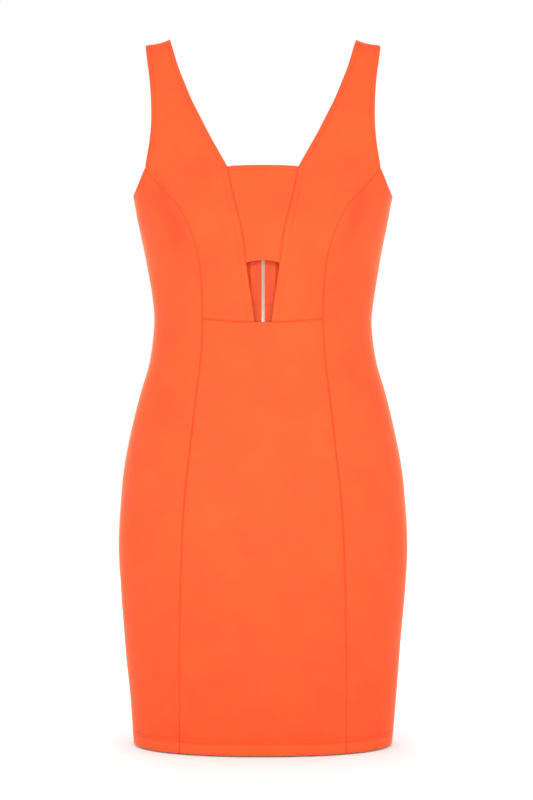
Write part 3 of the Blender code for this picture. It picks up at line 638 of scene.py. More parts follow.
def knit_relief(material, shader, wale, course, strength, depth):
    """Rows and columns of knit stitches from the cloth's own flat map, as a bump."""
    flat = add_node(material, "ShaderNodeUVMap", uv_map="cloth")
    split = add_node(material, "ShaderNodeSeparateXYZ", links={"Vector": flat.outputs["UV"]})
    heights = []
    for axis, pitch in (("X", wale), ("Y", course)):
        turn = add_node(material, "ShaderNodeMath", {1: 2 * math.pi / pitch},
                        {0: split.outputs[axis]}, operation="MULTIPLY")
        heights.append(add_node(material, "ShaderNodeMath", links={0: turn.outputs[0]}, operation="SINE"))
    rows = add_node(material, "ShaderNodeMath", {1: 0.6}, {0: heights[1].outputs[0]},
                    operation="MULTIPLY")
    both = add_node(material, "ShaderNodeMath", links={0: heights[0].outputs[0], 1: rows.outputs[0]},
                    operation="ADD")
    bump = add_node(material, "ShaderNodeBump", {"Strength": strength, "Distance": depth},
                    {"Height": both.outputs[0]})
    material.node_tree.links.new(bump.outputs["Normal"], shader.inputs["Normal"])
    return both


knit_relief(double_knit, knit_shader, WALE, COURSE, 0.35, 0.00008)
knit_place = add_node(double_knit, "ShaderNodeTexCoord")
wander = add_node(double_knit, "ShaderNodeTexNoise", {"Scale": 26.0, "Detail": 3.0, "Roughness": 0.55},
                  {"Vector": knit_place.outputs["Object"]})
shade_range = add_node(double_knit, "ShaderNodeMapRange",
                       {"From Min": 0.30, "From Max": 0.72, "To Min": 0.0, "To Max": 1.0},
                       {"Value": wander.outputs["Fac"]})
cloth_tone = add_node(double_knit, "ShaderNodeMix", {"A": KNIT, "B": KNIT_SHADE},
                      {"Factor": shade_range.outputs["Result"]}, data_type="RGBA")
# painted light: the attribute read here lightens the hem band between its fold and its stitches towards the
# painted hem tone
pressed = add_node(double_knit, "ShaderNodeAttribute", attribute_name="pressed")
cloth_painted_hem_light = add_node(double_knit, "ShaderNodeMix", {"B": KNIT_PAINTED_LIGHT},
                      {"Factor": pressed.outputs["Fac"], "A": cloth_tone.outputs["Result"]},
                      data_type="RGBA")
# painted shade: the cloth is darkened towards the third colour in seams, stitch grooves and hollows, where
# less light reaches
painted_shade_share = add_node(double_knit, "ShaderNodeAttribute", attribute_name="seam_shade")
cloth_painted_shade = add_node(double_knit, "ShaderNodeMix", {"B": KNIT_PAINTED_SHADE},
                      {"Factor": painted_shade_share.outputs["Fac"], "A": cloth_painted_hem_light.outputs["Result"]},
                      data_type="RGBA")
double_knit.node_tree.links.new(cloth_painted_shade.outputs["Result"], knit_shader.inputs["Base Color"])
print("material:", double_knit.name)

# %% [markdown]
# ## From grid to cloth
# A panel becomes one closed thin shell: the outer side, the inner side and a narrow rim.
# Extruding a plane and pinching its edge by hand would give the same thing, but with ten
# panels whose edges must meet to a fraction of a millimetre a short mesh function is surer.
# It also writes the cloth's flat map, in metres along and across the knit, and the seam shade.

# %% A closed sheet of cloth
# how strongly shade is painted in at seams, stitch grooves, hem grooves and crease hollows
SEAM_PAINTED_SHADE, GROOVE_PAINTED_SHADE, HEM_GROOVE_PAINTED_SHADE = 0.52, 0.24, 0.30
SEAM_REACH, GROOVE_REACH = 0.0010, 0.0006
DARKEST_SEAM_DROP = 0.510            # the painted seam shade is darkest at this drop, over the hips
HOLLOW_PAINTED_SHADE, HOLLOW_DEPTH = 0.30, 0.0026
# the painted hem light fades in over this distance below the stitches
HEM_LIGHT_FADE = 0.0012
SEAM_SHADE_MEAN, SEAM_SHADE_CHANGE, SEAM_SHADE_TURNS = 0.84, 0.26, 13


def added(name, data):
    """A new object in the scene for a mesh, a light or a camera."""
    thing = bpy.data.objects.new(name, data)
    bpy.context.collection.objects.link(thing)
    return thing


def to_mesh(name, points, faces, flat, marks, material):
    """An object with a smooth mesh, a flat map in metres and named marks for each point."""
    mesh = bpy.data.meshes.new(name)
    mesh.from_pydata(points.tolist(), [], faces.tolist())
    mesh.materials.append(material)
    corner = np.empty(len(mesh.loops), dtype=int)
    mesh.loops.foreach_get("vertex_index", corner)
    layer = mesh.uv_layers.new(name="cloth")
    layer.uv.foreach_set("vector", flat[corner].astype(np.float32).ravel())
    for kind, values in marks.items():
        mark = mesh.attributes.new(kind, "FLOAT", "POINT")
        mark.data.foreach_set("value", values.astype(np.float32))
    mesh.shade_smooth()
    return added(name, mesh)


def closed_shell(outer, inner, outward):
    """Points and faces of a shell between two grids, with its faces turned outward."""
    rows, columns = outer.shape[:2]
    count = rows * columns
    number = np.arange(count).reshape(rows, columns)
    skin = np.stack([number[:-1, :-1], number[:-1, 1:], number[1:, 1:], number[1:, :-1]], -1)
    skin = skin.reshape(-1, 4)
    rim = np.concatenate([number[0, :-1], number[:-1, -1], number[-1, :0:-1], number[:0:-1, 0]])
    after = np.roll(rim, -1)
    edge = np.stack([after, rim, rim + count, after + count], -1)
    faces = np.concatenate([skin, skin[:, ::-1] + count, edge])
    i, j = rows // 2, columns // 2
    turned = np.cross(outer[i, j + 1] - outer[i, j], outer[i + 1, j] - outer[i, j])
    if np.dot(turned, outward[i, j]) < 0:
        faces = faces[:, ::-1]
    return np.concatenate([outer.reshape(-1, 3), inner.reshape(-1, 3)]), faces


def flat_map(points):
    """Metres across from the panel's middle column and metres down, for each point."""
    steps = np.linalg.norm(np.diff(points, axis=1), axis=-1)
    run = np.cumsum(np.insert(steps, 0, 0, axis=1), axis=1)
    run -= run[:, run.shape[1] // 2][:, None]
    return np.stack([run, -points[..., 2]], axis=-1).reshape(-1, 2)


def seam_shade(panel, s, t):
    """How much shade is painted into the cloth in a seam, a stitch groove or a hollow, from 0 to 1."""
    shade = np.zeros(s.shape)
    spots = station(panel, s, t)
    form = form_point(panel["face"], panel["hand"] * spots[..., 0], spots[..., 1])
    hollow = HOLLOW_PAINTED_SHADE * np.clip(-drape(panel["face"], form) / HOLLOW_DEPTH, 0, 1)
    uneven = SEAM_SHADE_MEAN + SEAM_SHADE_CHANGE * np.cos(SEAM_SHADE_TURNS * (spots[..., 1] - DARKEST_SEAM_DROP))
    for _, kind, away, _, here in stretches(panel, s, t):
        mark = SEAM_PAINTED_SHADE * np.exp(-(away / SEAM_REACH) ** 2) if kind in ("sewn", "pressed") else 0 * away
        groove = HEM_GROOVE_PAINTED_SHADE if kind == "hem" else GROOVE_PAINTED_SHADE
        for line in STITCH_AT[kind]:
            mark = np.maximum(mark, groove * np.exp(-((away - line) / GROOVE_REACH) ** 2))
        shade = np.maximum(shade, np.where(here, mark, 0))
    return shade * uneven + hollow * (1 - shade)


def painted_hem_light_band(panel, s, t):
    """Where a painted lighter band lies on the hem, from its fold to its stitches: painted sheen of the
    pressed double cloth, which also lifts the shade near the floor.
    """
    band = np.zeros(s.shape)
    for _, kind, away, _, _ in stretches(panel, s, t):
        if kind == "hem":
            band = np.clip((STITCH_AT["hem"][0] - away) / HEM_LIGHT_FADE, 0, 1)
    return band


# %% [markdown]
# ## Working by hand on a small part
# Stitches, zip teeth, slider and pull are small solids, and they are modelled as one would by
# hand: add a primitive, go into edit mode, pick faces, then extrude, bevel or scale them.  A
# picked face is found by where it is or which way it looks, because a script has no mouse.

# %% Helpers for hand modelling
def block(name, place, size):
    """A box added at its size and place, left in edit mode."""
    bpy.ops.object.select_all(action="DESELECT")
    bpy.ops.mesh.primitive_cube_add(size=1, location=place)
    thing = bpy.context.active_object
    thing.name = name
    bpy.ops.object.mode_set(mode="EDIT")
    bpy.ops.transform.resize(value=size)
    settle(thing)
    bpy.ops.object.mode_set(mode="EDIT")
    return thing


def settle(thing):
    """Back to object mode, with the object's place and turn moved into its mesh."""
    bpy.ops.object.mode_set(mode="OBJECT")
    thing.data.transform(thing.matrix_basis)
    thing.matrix_basis = Matrix()


def pick(thing, test, mode="FACE"):
    """In edit mode, select only what passes a test on its middle and its normal or heading."""
    bpy.ops.mesh.select_mode(type=mode)
    bpy.ops.mesh.select_all(action="DESELECT")
    shape = bmesh.from_edit_mesh(thing.data)
    for part in {"FACE": shape.faces, "EDGE": shape.edges, "VERT": shape.verts}[mode]:
        if mode == "EDGE":
            first, second = (corner.co for corner in part.verts)
            middle, heading = (first + second) / 2, (second - first).normalized()
        else:
            middle, heading = part.co if mode == "VERT" else part.calc_center_median(), part.normal
        part.select = bool(test(middle, heading))
    shape.select_flush_mode()
    bmesh.update_edit_mesh(thing.data)


def scaled(thing, test, factors, **settings):
    """In edit mode, scale the points that pass a test."""
    pick(thing, test, "VERT")
    bpy.ops.transform.resize(value=factors, **settings)


def bevelled(thing, test, width, segments):
    """In edit mode, bevel the edges that pass a test."""
    pick(thing, test, "EDGE")
    bpy.ops.mesh.bevel(offset=width, segments=segments)


def cut(*planes):
    """Cut the whole mesh, in edit mode, by planes given as (point, direction)."""
    for point, direction in planes:
        bpy.ops.mesh.select_all(action="SELECT")
        bpy.ops.mesh.bisect(plane_co=point, plane_no=direction)


def round_edges(thing, width, segments=2):
    """Soften every sharp edge, and shade the rest smooth."""
    bpy.ops.object.mode_set(mode="OBJECT")
    bpy.ops.object.select_all(action="DESELECT")
    thing.select_set(True)
    bpy.context.view_layer.objects.active = thing
    change = thing.modifiers.new("soft_edges", "BEVEL")
    change.width, change.segments = width, segments
    change.limit_method, change.angle_limit = "ANGLE", math.radians(35)
    bpy.ops.object.modifier_apply(modifier=change.name)
    bpy.ops.object.shade_smooth_by_angle(angle=math.radians(50))


def taken(thing):
    """The points and faces of a finished pattern piece, which is then removed."""
    bpy.ops.object.mode_set(mode="OBJECT")
    points = np.array([corner.co[:] for corner in thing.data.vertices])
    faces = [tuple(face.vertices) for face in thing.data.polygons]
    bpy.data.objects.remove(thing, do_unlink=True)
    return points, faces


def repeated(name, pattern, places, material):
    """One mesh with a copy of a pattern at each place, given as a 4 x 4 matrix."""
    points, faces = pattern
    frames = np.array(places)
    copies = np.einsum("nij,kj->nki", frames[:, :3, :3], points) + frames[:, None, :3, 3]
    count = len(points)
    mesh = bpy.data.meshes.new(name)
    shifted = [[corner + count * n for corner in face] for n in range(len(places)) for face in faces]
    mesh.from_pydata(copies.reshape(-1, 3).tolist(), [], shifted)
    mesh.materials.append(material)
    mesh.shade_smooth()
    mesh.set_sharp_from_angle(angle=math.radians(40))
    return added(name, mesh)


def frames_at(spots, across, ahead, outward):
    """A 4 x 4 matrix for each place, from the three directions there."""
    frames = np.tile(np.eye(4), (len(spots), 1, 1))
    for column, values in enumerate((across, ahead, outward, spots)):
        frames[:, :3, column] = values
    return frames


print("helpers for modelling by hand are ready")

# %% [markdown]
# ## One stitch
# The topstitching is a lockstitch in matching polyester thread: a short raised stroke that
# dives into the cloth at both ends, one every 2.9 mm.  It could be painted on, but a real
# stroke catches the light.  One stroke is modelled, with few faces because some sixteen hundred
# are laid.  A row runs at its distance straight in from the edge and ends at the next seam.

# %% Thread and stitch
STITCH_PITCH, STITCH_SPAN, THREAD = 0.0029, 0.0014, 0.00034
ROW_END = 0.0012                # a row of stitches stops this far from the next seam
DIVE_RUN, DIVE_DEPTH = 0.00050, 0.00022
SUNK = 0.3                      # share of the thread's thickness that sinks into the cloth
STITCH_WAVER, WAVER_TURNS = 0.00012, 2100
HEADING_REACH = 0.0008          # the row's direction is taken over this distance either way
# spun polyester sewing thread, slightly lustrous, dyed close to the knit; its tones are set a little darker,
# partly its dye and partly painted shade along the stitch line
thread, thread_shader = new_material("polyester_thread_orange", Roughness=0.55, Specular_IOR_Level=0.45)
thread_place = add_node(thread, "ShaderNodeTexCoord")
# two plies twist round each other about every 0.6 mm; drawn at 0.8 mm so that they can show
PLY_TURN = 0.0008
plies = add_node(thread, "ShaderNodeTexWave", {"Scale": 1 / PLY_TURN / 6.28, "Distortion": 0.6},
                 {"Vector": thread_place.outputs["Object"]}, bands_direction="DIAGONAL")
thread_tone = add_node(thread, "ShaderNodeMix", {"A": linear("#C23A16"), "B": linear("#D84C20")},
                       {"Factor": plies.outputs["Fac"]}, data_type="RGBA")
thread.node_tree.links.new(thread_tone.outputs["Result"], thread_shader.inputs["Base Color"])

bpy.ops.object.select_all(action="DESELECT")
bpy.ops.mesh.primitive_cylinder_add(vertices=6, radius=THREAD / 2, depth=STITCH_SPAN,
                                    rotation=(0, math.pi / 2, 0))
stroke = bpy.context.active_object
settle(stroke)
bpy.ops.object.mode_set(mode="EDIT")
for end in (-1, 1):
    pick(stroke, lambda middle, normal: normal.x * end > 0.9)
    bpy.ops.mesh.extrude_region_move(TRANSFORM_OT_translate={"value": (end * DIVE_RUN, 0, -DIVE_DEPTH)})
    bpy.ops.transform.resize(value=(1, 0.5, 0.5))
one_stitch = taken(stroke)
print("one stitch:", len(one_stitch[1]), "faces")


def stitch_row(panel, side, kind, away, start, end):
    """A frame for each stitch of a row at a distance from one edge of a panel."""
    place = np.linspace(start, min(end, 1.0), 500)
    spots = in_from(panel, side, np.full(place.shape, away), place)
    met = np.where(from_others(panel, side, start, end, spots) <= ROW_END)[0]
    met = np.concatenate([[-1], met, [len(place)]])
    longest = np.argmax(np.diff(met))
    inside = slice(met[longest] + 1, met[longest + 1])
    depth = panel["below"] + outer_profile(kind, np.array(away)) + pucker(panel, side, away, place)
    points, outward = placed(panel, spots[inside], depth[inside] - SUNK * THREAD)
    run = np.insert(np.cumsum(np.linalg.norm(np.diff(points, axis=0), axis=-1)), 0, 0)
    middles = np.arange(STITCH_PITCH, run[-1] - STITCH_PITCH / 2, STITCH_PITCH)
    middles = middles + STITCH_WAVER * np.sin(middles * WAVER_TURNS + 7 * away / STITCH_PITCH)
    spot, front, behind, up = (
        np.stack([np.interp(where, run, values[:, k]) for k in range(3)], -1)
        for where, values in ((middles, points), (middles + HEADING_REACH, points),
                              (middles - HEADING_REACH, points), (middles, outward)))
    ahead, aside = unit(front - behind), np.cross(up, unit(front - behind))
    return frames_at(spot, ahead, unit(aside), unit(np.cross(ahead, aside)))


def topstitch(panel):
    """All visible stitch rows of a panel as one piece, or nothing if it has none."""
    rows = [stitch_row(panel, side, kind, line, start, end)
            for side, start, end, kind in finishes(panel) for line in STITCH_AT[kind]]
    if not rows:
        return None
    piece = repeated(panel["name"] + "_topstitch", one_stitch, np.concatenate(rows), thread)
    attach(piece, "dress")
    return piece


# %% [markdown]
# ## What lies inside a seam
# Cloth does not end at its seam: nine millimetres of allowance lie flat on the inside, their raw
# edge whipped over with thread, and at the hem and the free edges the cloth is folded in.
# These strips show through the neck, the window and the armholes.  Each is a thin closed
# strip that runs along the seam, laid just inside the panel that it belongs to, and it
# narrows to a mitre where it would run into the next seam.

# %% Allowances with an overlocked edge
ALLOWANCE = {"sewn": 0.0090, "pressed": 0.0105, "turned": 0.0080, "window": 0.0100,
             "short": 0.0070, "hem": 0.0240}
ALLOWANCE_WALL, ALLOWANCE_CLEARANCE = 0.0008, 0.00015
ALLOWANCE_START, WHIPPED = 0.0006, 0.0012   # it starts this far in; its last edge is whipped
RAW_FROM = 0.95                 # past this share of its width it is pressed to half its wall
STRIP_STEP, WIDTHS_TRIED, MITRE = 0.006, 20, 0.4
WAVER_HEIGHT = 0.00018          # a raw edge never lies quite flat
OVERLOCK_PITCH, LOOP_LEAN = 0.0022, 0.35    # the overlocker's loops, 2.2 mm apart and slanting
# the same double knit on its inner side, with the overlocker's thread round the raw edge
overlocked, overlocked_shader = new_material(
    "double_knit_orange_overlocked", Roughness=0.85, Sheen_Weight=0.25,
    Sheen_Tint=linear("#FFC79C"), Specular_IOR_Level=0.30)
strip_map = add_node(overlocked, "ShaderNodeUVMap", uv_map="cloth")
strip_axes = add_node(overlocked, "ShaderNodeSeparateXYZ", links={"Vector": strip_map.outputs["UV"]})
lean = add_node(overlocked, "ShaderNodeMath", {1: LOOP_LEAN}, {0: strip_axes.outputs["X"]},
                operation="MULTIPLY")
loop_place = add_node(overlocked, "ShaderNodeMath", operation="ADD",
                      links={0: strip_axes.outputs["Y"], 1: lean.outputs[0]})
loop_turn = add_node(overlocked, "ShaderNodeMath", {1: 2 * math.pi / OVERLOCK_PITCH},
                     {0: loop_place.outputs[0]}, operation="MULTIPLY")
loops = add_node(overlocked, "ShaderNodeMath", links={0: loop_turn.outputs[0]}, operation="SINE")
whipped = add_node(overlocked, "ShaderNodeAttribute", attribute_name="seam_shade")
loop_share = add_node(overlocked, "ShaderNodeMath", operation="MULTIPLY",
                      links={0: loops.outputs[0], 1: whipped.outputs["Fac"]})
strip_tone = add_node(overlocked, "ShaderNodeMix", {"A": KNIT_SHADE, "B": linear("#E85A2C")},
                      {"Factor": loop_share.outputs[0]}, data_type="RGBA", clamp_factor=True)
overlocked.node_tree.links.new(strip_tone.outputs["Result"], overlocked_shader.inputs["Base Color"])
strip_bump = add_node(overlocked, "ShaderNodeBump", {"Strength": 0.35, "Distance": 0.0002},
                      {"Height": loop_share.outputs[0]})
overlocked.node_tree.links.new(strip_bump.outputs["Normal"], overlocked_shader.inputs["Normal"])


def strip(panel, side, start, end, width):
    """Both sides of one allowance, its outward directions, flat map and whipped edge."""
    length = panel["run"][side] * (min(end, 1.0) - start)
    place = np.linspace(start, min(end, 1.0), max(3, int(length / STRIP_STEP)))
    place, share = np.meshgrid(place, np.linspace(1 / WIDTHS_TRIED, 1, WIDTHS_TRIED), indexing="ij")
    tried = in_from(panel, side, share * width, place)
    free = from_others(panel, side, start, end, tried) > MITRE * share * width
    room = np.maximum(np.cumprod(free, axis=1).sum(axis=1), 1) / WIDTHS_TRIED
    room[0], room[-1] = min(room[:2]), min(room[-2:])
    across = np.array([ALLOWANCE_START, 0.3 * width, 0.6 * width, width - WHIPPED, width]) / width
    place, across = np.meshgrid(place[:, 0], across, indexing="ij")
    away = across * width * room[:, None]
    run = length * (place - start)
    waver = WAVER_HEIGHT * (1 + np.sin(run * 310 + 3 * np.sin(run * 90))) * across ** 2
    depth = panel["below"] + panel["wall"] + ALLOWANCE_CLEARANCE + waver
    spots = in_from(panel, side, away, place)
    outer, outward = placed(panel, spots, depth)
    inner, _ = placed(panel, spots, depth + ALLOWANCE_WALL * np.where(across > RAW_FROM, 0.5, 1.0))
    return outer, inner, outward, np.stack([away, run], -1).reshape(-1, 2), across.ravel() > 0.5


def allowances(panel):
    """The inside strips of a panel, as one piece."""
    points, faces, flats, marks = [], [], [], []
    for side, start, end, kind in finishes(panel):
        if kind in ALLOWANCE:
            outer, inner, outward, flat, mark = strip(panel, side, start, end, ALLOWANCE[kind])
            shell, shell_faces = closed_shell(outer, inner, outward)
            faces.append(shell_faces + sum(map(len, points)))
            points.append(shell)
            flats += [flat, flat]
            marks += [mark, mark]
    piece = to_mesh(panel["name"] + "_allowances", np.concatenate(points), np.concatenate(faces),
                    np.concatenate(flats), {"seam_shade": np.concatenate(marks)}, overlocked)
    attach(piece, "dress")
    return piece


print("allowance beside a seam:", 1000 * ALLOWANCE["sewn"], "mm; at the hem:", 1000 * ALLOWANCE["hem"], "mm")


def new_panel(name, face, hand, edges, finish, wall=WALL, below=0.0, spacing=CLOTH_SPACING):
    """A measured panel; an edge of one run may be given as its stations alone."""
    edges = [edge if isinstance(edge, tuple) else joined([edge]) for edge in edges]
    return measured({"name": name, "face": face, "hand": hand, "edges": dict(zip(SIDES, edges)),
                     "finish": dict(zip(SIDES, finish)), "wall": wall, "below": below,
                     "spacing": spacing})


def sew_panel(panel):
    """The finished cloth of one panel, in place of its CAD node, with its sewing."""
    s, t = laid_grid(panel)
    outer, outward = laid(panel, s, t, outer_depth(panel, s, t))
    inner, _ = laid(panel, s, t, inner_depth(panel, s, t))
    points, faces = closed_shell(outer, inner, outward)
    flat = flat_map(outer)
    shade, painted_hem_light = seam_shade(panel, s, t).ravel(), painted_hem_light_band(panel, s, t).ravel()
    # the inner side gets half as much painted seam shade, and no painted hem light
    marks = {"seam_shade": np.concatenate([shade, 0.5 * shade]),
             "pressed": np.concatenate([painted_hem_light, 0 * painted_hem_light])}
    piece = to_mesh(panel["name"] + "_cloth", points, faces, np.concatenate([flat, flat]), marks,
                    double_knit)
    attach(piece, "dress")
    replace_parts(piece, panel["name"])
    sewing = [topstitch(panel), allowances(panel)]


def add_pair(name, face, edges, finish):
    """A panel on the right and its mirror image on the left."""
    sew_panel(new_panel(name + "_right", face, 1, edges, finish))
    sew_panel(new_panel(name + "_left", face, -1, edges, finish))


print("ready to sew; the first panel comes next")

# %% [markdown]
# ## The ten panels
# Now the pattern pieces are named one by one, each by its four edges and by how every
# stretch of each edge is finished.  Left and right are the sides of the picture: the
# right-hand piece has positive x, and its twin is the same plan with the angle turned over.

# %% The front panels
END = 1.01                      # just past the end of an edge
WHOLE = {kind: ((0.0, END, kind),) for kind in STITCH_AT}
SEWN, HEM = WHOLE["sewn"], WHOLE["hem"]


def bowed(half, drop, rise):
    """A level edge about the centre line whose middle stands a little higher."""
    return level(-half, half, lambda angle: drop - rise * (1 - (angle / half) ** 2))


inset_edge = on_table(INSET_SEAM, CHEST_INNER, INSET_BOTTOM)
sew_panel(new_panel("front_inset_panel", FRONT, 1, (
    inset_edge * (-1, 1), inset_edge, bowed(inset_edge[0][0], CHEST_INNER, INSET_TOP_RISE),
    bowed(inset_edge[-1][0], INSET_BOTTOM, INSET_BOTTOM_RISE)),
    (SEWN, SEWN, WHOLE["turned"], WHOLE["short"])))

ROLL_END, CHEST_PLACE, INSET_PLACE = 0.10, 0.50, 0.81   # where the runs of the long edges join
window_foot = on_table(INSET_SEAM, INSET_BOTTOM, FRONT_WAIST)[-1][0]
window = on_table(INSET_SEAM, INSET_BOTTOM, front_waist(window_foot))
window[-1, 0] = window_foot
bodice_inner = joined([at_drops(FRONT_NECKLINE, ROLL_DROPS), on_table(FRONT_NECKLINE, ROLL_DROP, CHEST_INNER),
                       inset_edge, window], (0.0, ROLL_END, CHEST_PLACE, INSET_PLACE, 1.0))
bodice_outer = joined([at_drops(FRONT_ARMHOLE, ROLL_DROPS), on_table(FRONT_ARMHOLE, ROLL_DROP, CHEST_OUTER),
                       on_table(PRINCESS_SEAM, CHEST_OUTER, princess_waist[1])],
                      (0.0, ROLL_END, CHEST_PLACE, 1.0))
add_pair("front_bodice", FRONT, (
    bodice_inner, bodice_outer, level(bodice_inner[1][0][0], bodice_outer[1][0][0], 0.0),
    level(window_foot, princess_waist[0], front_waist)),
    (((0.0, CHEST_PLACE, "turned"), (CHEST_PLACE, INSET_PLACE, "pressed"),
      (INSET_PLACE, END, "window")),
     ((0.0, CHEST_PLACE, "turned"), (CHEST_PLACE, END, "sewn")), SEWN, SEWN))

# %% The side fronts and the front of the skirt
SIDE_BREAKS = (0.0, 0.262, 1.0)
side_edge = joined([side_line(UNDERARM, SIDE_WAIST), side_line(SIDE_WAIST, LENGTH)], SIDE_BREAKS)
princess_edge = joined([on_table(PRINCESS_SEAM, CHEST_OUTER, princess_waist[1]),
                        on_table(PRINCESS_SEAM, princess_waist[1], LENGTH)], SIDE_BREAKS)
add_pair("side_front", FRONT, (
    princess_edge, side_edge, underarm(princess_top[0]), level(hem_princess[0], SIDE_ANGLE, LENGTH)),
    (SEWN, SEWN, WHOLE["turned"], HEM))

skirt_right = on_table(PRINCESS_SEAM, princess_waist[1], LENGTH)
foot_share = 0.5 * window_foot / princess_waist[0]
sew_panel(new_panel("front_skirt_centre", FRONT, 1, (
    skirt_right * (-1, 1), skirt_right, level(-princess_waist[0], princess_waist[0], front_waist),
    level(-hem_princess[0], hem_princess[0], LENGTH)),
    (SEWN, SEWN, ((0.0, 0.5 - foot_share, "sewn"), (0.5 - foot_share, 0.5 + foot_share, "short"),
                  (0.5 + foot_share, END, "sewn")), HEM)))

# %% The back panels
def scoop(turns):
    """Stations of the back neckline, a quarter of an oval a little squarer than an ellipse."""
    drop = BACK_NECK_DROP * np.sin(turns) ** (1 / NECK_ROOT)
    return np.column_stack([angle_at(BACK_NECK_WIDTH * np.cos(turns) ** (1 / NECK_ROOT), drop), drop])


scoop_start = math.asin((ROLL_DROP / BACK_NECK_DROP) ** NECK_ROOT)
scoop_end = math.acos((ZIP_OPENING / BACK_NECK_WIDTH) ** NECK_ROOT)
roll_turns = np.arcsin((ROLL_DROPS / BACK_NECK_DROP) ** NECK_ROOT)
neck_end = scoop(np.array([scoop_end]))[0][1]
zip_waist = float(back_waist(angle_at(np.array(ZIP_OPENING), np.array(BACK_WAIST))))
BACK_ROLL_END, NECK_END_PLACE, KINK_PLACE, UNDERARM_PLACE = 0.09, 0.42, 0.46, 0.75
back_inner = joined([scoop(roll_turns), scoop(np.linspace(scoop_start, scoop_end, FINE)),
                     at_x(ZIP_OPENING, neck_end, zip_waist)], (0.0, BACK_ROLL_END, NECK_END_PLACE, 1.0))
back_armhole = on_table(BACK_ARMHOLE, ROLL_DROP, CHEST_OUTER)
back_outer = joined([at_drops(BACK_ARMHOLE, ROLL_DROPS), back_armhole, underarm(back_armhole[-1][0]),
                     side_line(UNDERARM, SIDE_WAIST)],
                    (0.0, BACK_ROLL_END, KINK_PLACE, UNDERARM_PLACE, 1.0))
add_pair("back_bodice", BACK, (
    back_inner, back_outer, level(back_inner[1][0][0], back_outer[1][0][0], 0.0),
    level(back_inner[1][-1][0], SIDE_ANGLE, back_waist)),
    (((0.0, NECK_END_PLACE, "turned"), (NECK_END_PLACE, END, "zip")),
     ((0.0, UNDERARM_PLACE, "turned"), (UNDERARM_PLACE, END, "sewn")), SEWN, SEWN))

closed_end = ZIP_END + ZIP_END_TAPER
slot_angle = float(angle_at(np.array(ZIP_OPENING), np.array(ZIP_END)))
taper = np.column_stack([np.linspace(slot_angle, 0, 12), np.linspace(ZIP_END, closed_end, 12)])
seam_below = np.column_stack([np.zeros(FINE), np.linspace(closed_end, LENGTH, FINE)])
centre_back = joined([at_x(ZIP_OPENING, zip_waist, ZIP_END), taper, seam_below],
                     (0.0, 0.468, 0.478, 1.0))
add_pair("back_skirt", BACK, (
    centre_back, side_line(SIDE_WAIST, LENGTH), level(centre_back[1][0][0], SIDE_ANGLE, back_waist),
    level(0.0, SIDE_ANGLE, LENGTH)),
    (((0.0, 0.474, "zip"), (0.474, END, "sewn")), SEWN, SEWN, HEM))

# %% [markdown]
# ## The zip: tapes
# The zip is sewn behind a slot in the back, so its metal shows on both sides of the dress.
# Each tape is a narrow woven band with a firm cord along its inner edge, which the teeth grip.
# It follows the cloth 1.9 mm below its outside, so the same functions lay it too.

# %% Woven zip tape
TAPE_RIB = 0.0009               # ribs of the weave, drawn a little coarser than the real 0.5 mm
TAPE_RIB_ACROSS, TAPE_CONTRAST = 0.0011, 1.6
# a plain woven polyester band, smoother and a little shinier than the knit
tape_cloth, tape_shader = new_material("woven_polyester_zip_tape", Roughness=0.70, Sheen_Weight=0.15,
                                       Specular_IOR_Level=0.35)
tape_weave = knit_relief(tape_cloth, tape_shader, TAPE_RIB_ACROSS, TAPE_RIB, 0.5, 0.00012)
# both tones are lighter than the knit's, partly the tape's own colour and partly a painted sheen that also
# brightens the inside of the dress; the lighter one is painted on the raised ribs as a painted highlight
tape_rib_painted_highlight = add_node(tape_cloth, "ShaderNodeMapRange",
                      {"From Min": -TAPE_CONTRAST, "From Max": TAPE_CONTRAST},
                      {"Value": tape_weave.outputs[0]})
tape_tone_painted_sheen = add_node(tape_cloth, "ShaderNodeMix", {"A": linear("#E15025"), "B": linear("#EE5A2C")},
                     {"Factor": tape_rib_painted_highlight.outputs["Result"]}, data_type="RGBA")
# the darker red draws the tape's cord and stitch lines, and painted shade at the foot of the swell over the
# waist seam
tape_line = add_node(tape_cloth, "ShaderNodeAttribute", attribute_name="seam_shade")
tape_lined = add_node(tape_cloth, "ShaderNodeMix", {"B": linear("#C23C18")},
                      {"A": tape_tone_painted_sheen.outputs["Result"], "Factor": tape_line.outputs["Fac"]},
                      data_type="RGBA")
tape_cloth.node_tree.links.new(tape_lined.outputs["Result"], tape_shader.inputs["Base Color"])
# the cord's edge and the row of stitches that holds the tape, and how dark and wide they are
TAPE_LINES, LINE_MARK, LINE_REACH = (0.0036, 0.0074), 0.45, 0.0004
# painted shade along the foot of the tape's swell over the waist seam, and how wide it is
WAIST_PAINTED_SHADE, WAIST_REACH = 0.30, 0.0010
# the tape swells over the allowance of the waist seam, which is pressed upward beneath it
SWELL_TOP, SWELL_BOTTOM, SWELL_EDGE, SWELL_HEIGHT = 0.3026, 0.3125, 0.0012, 0.0005


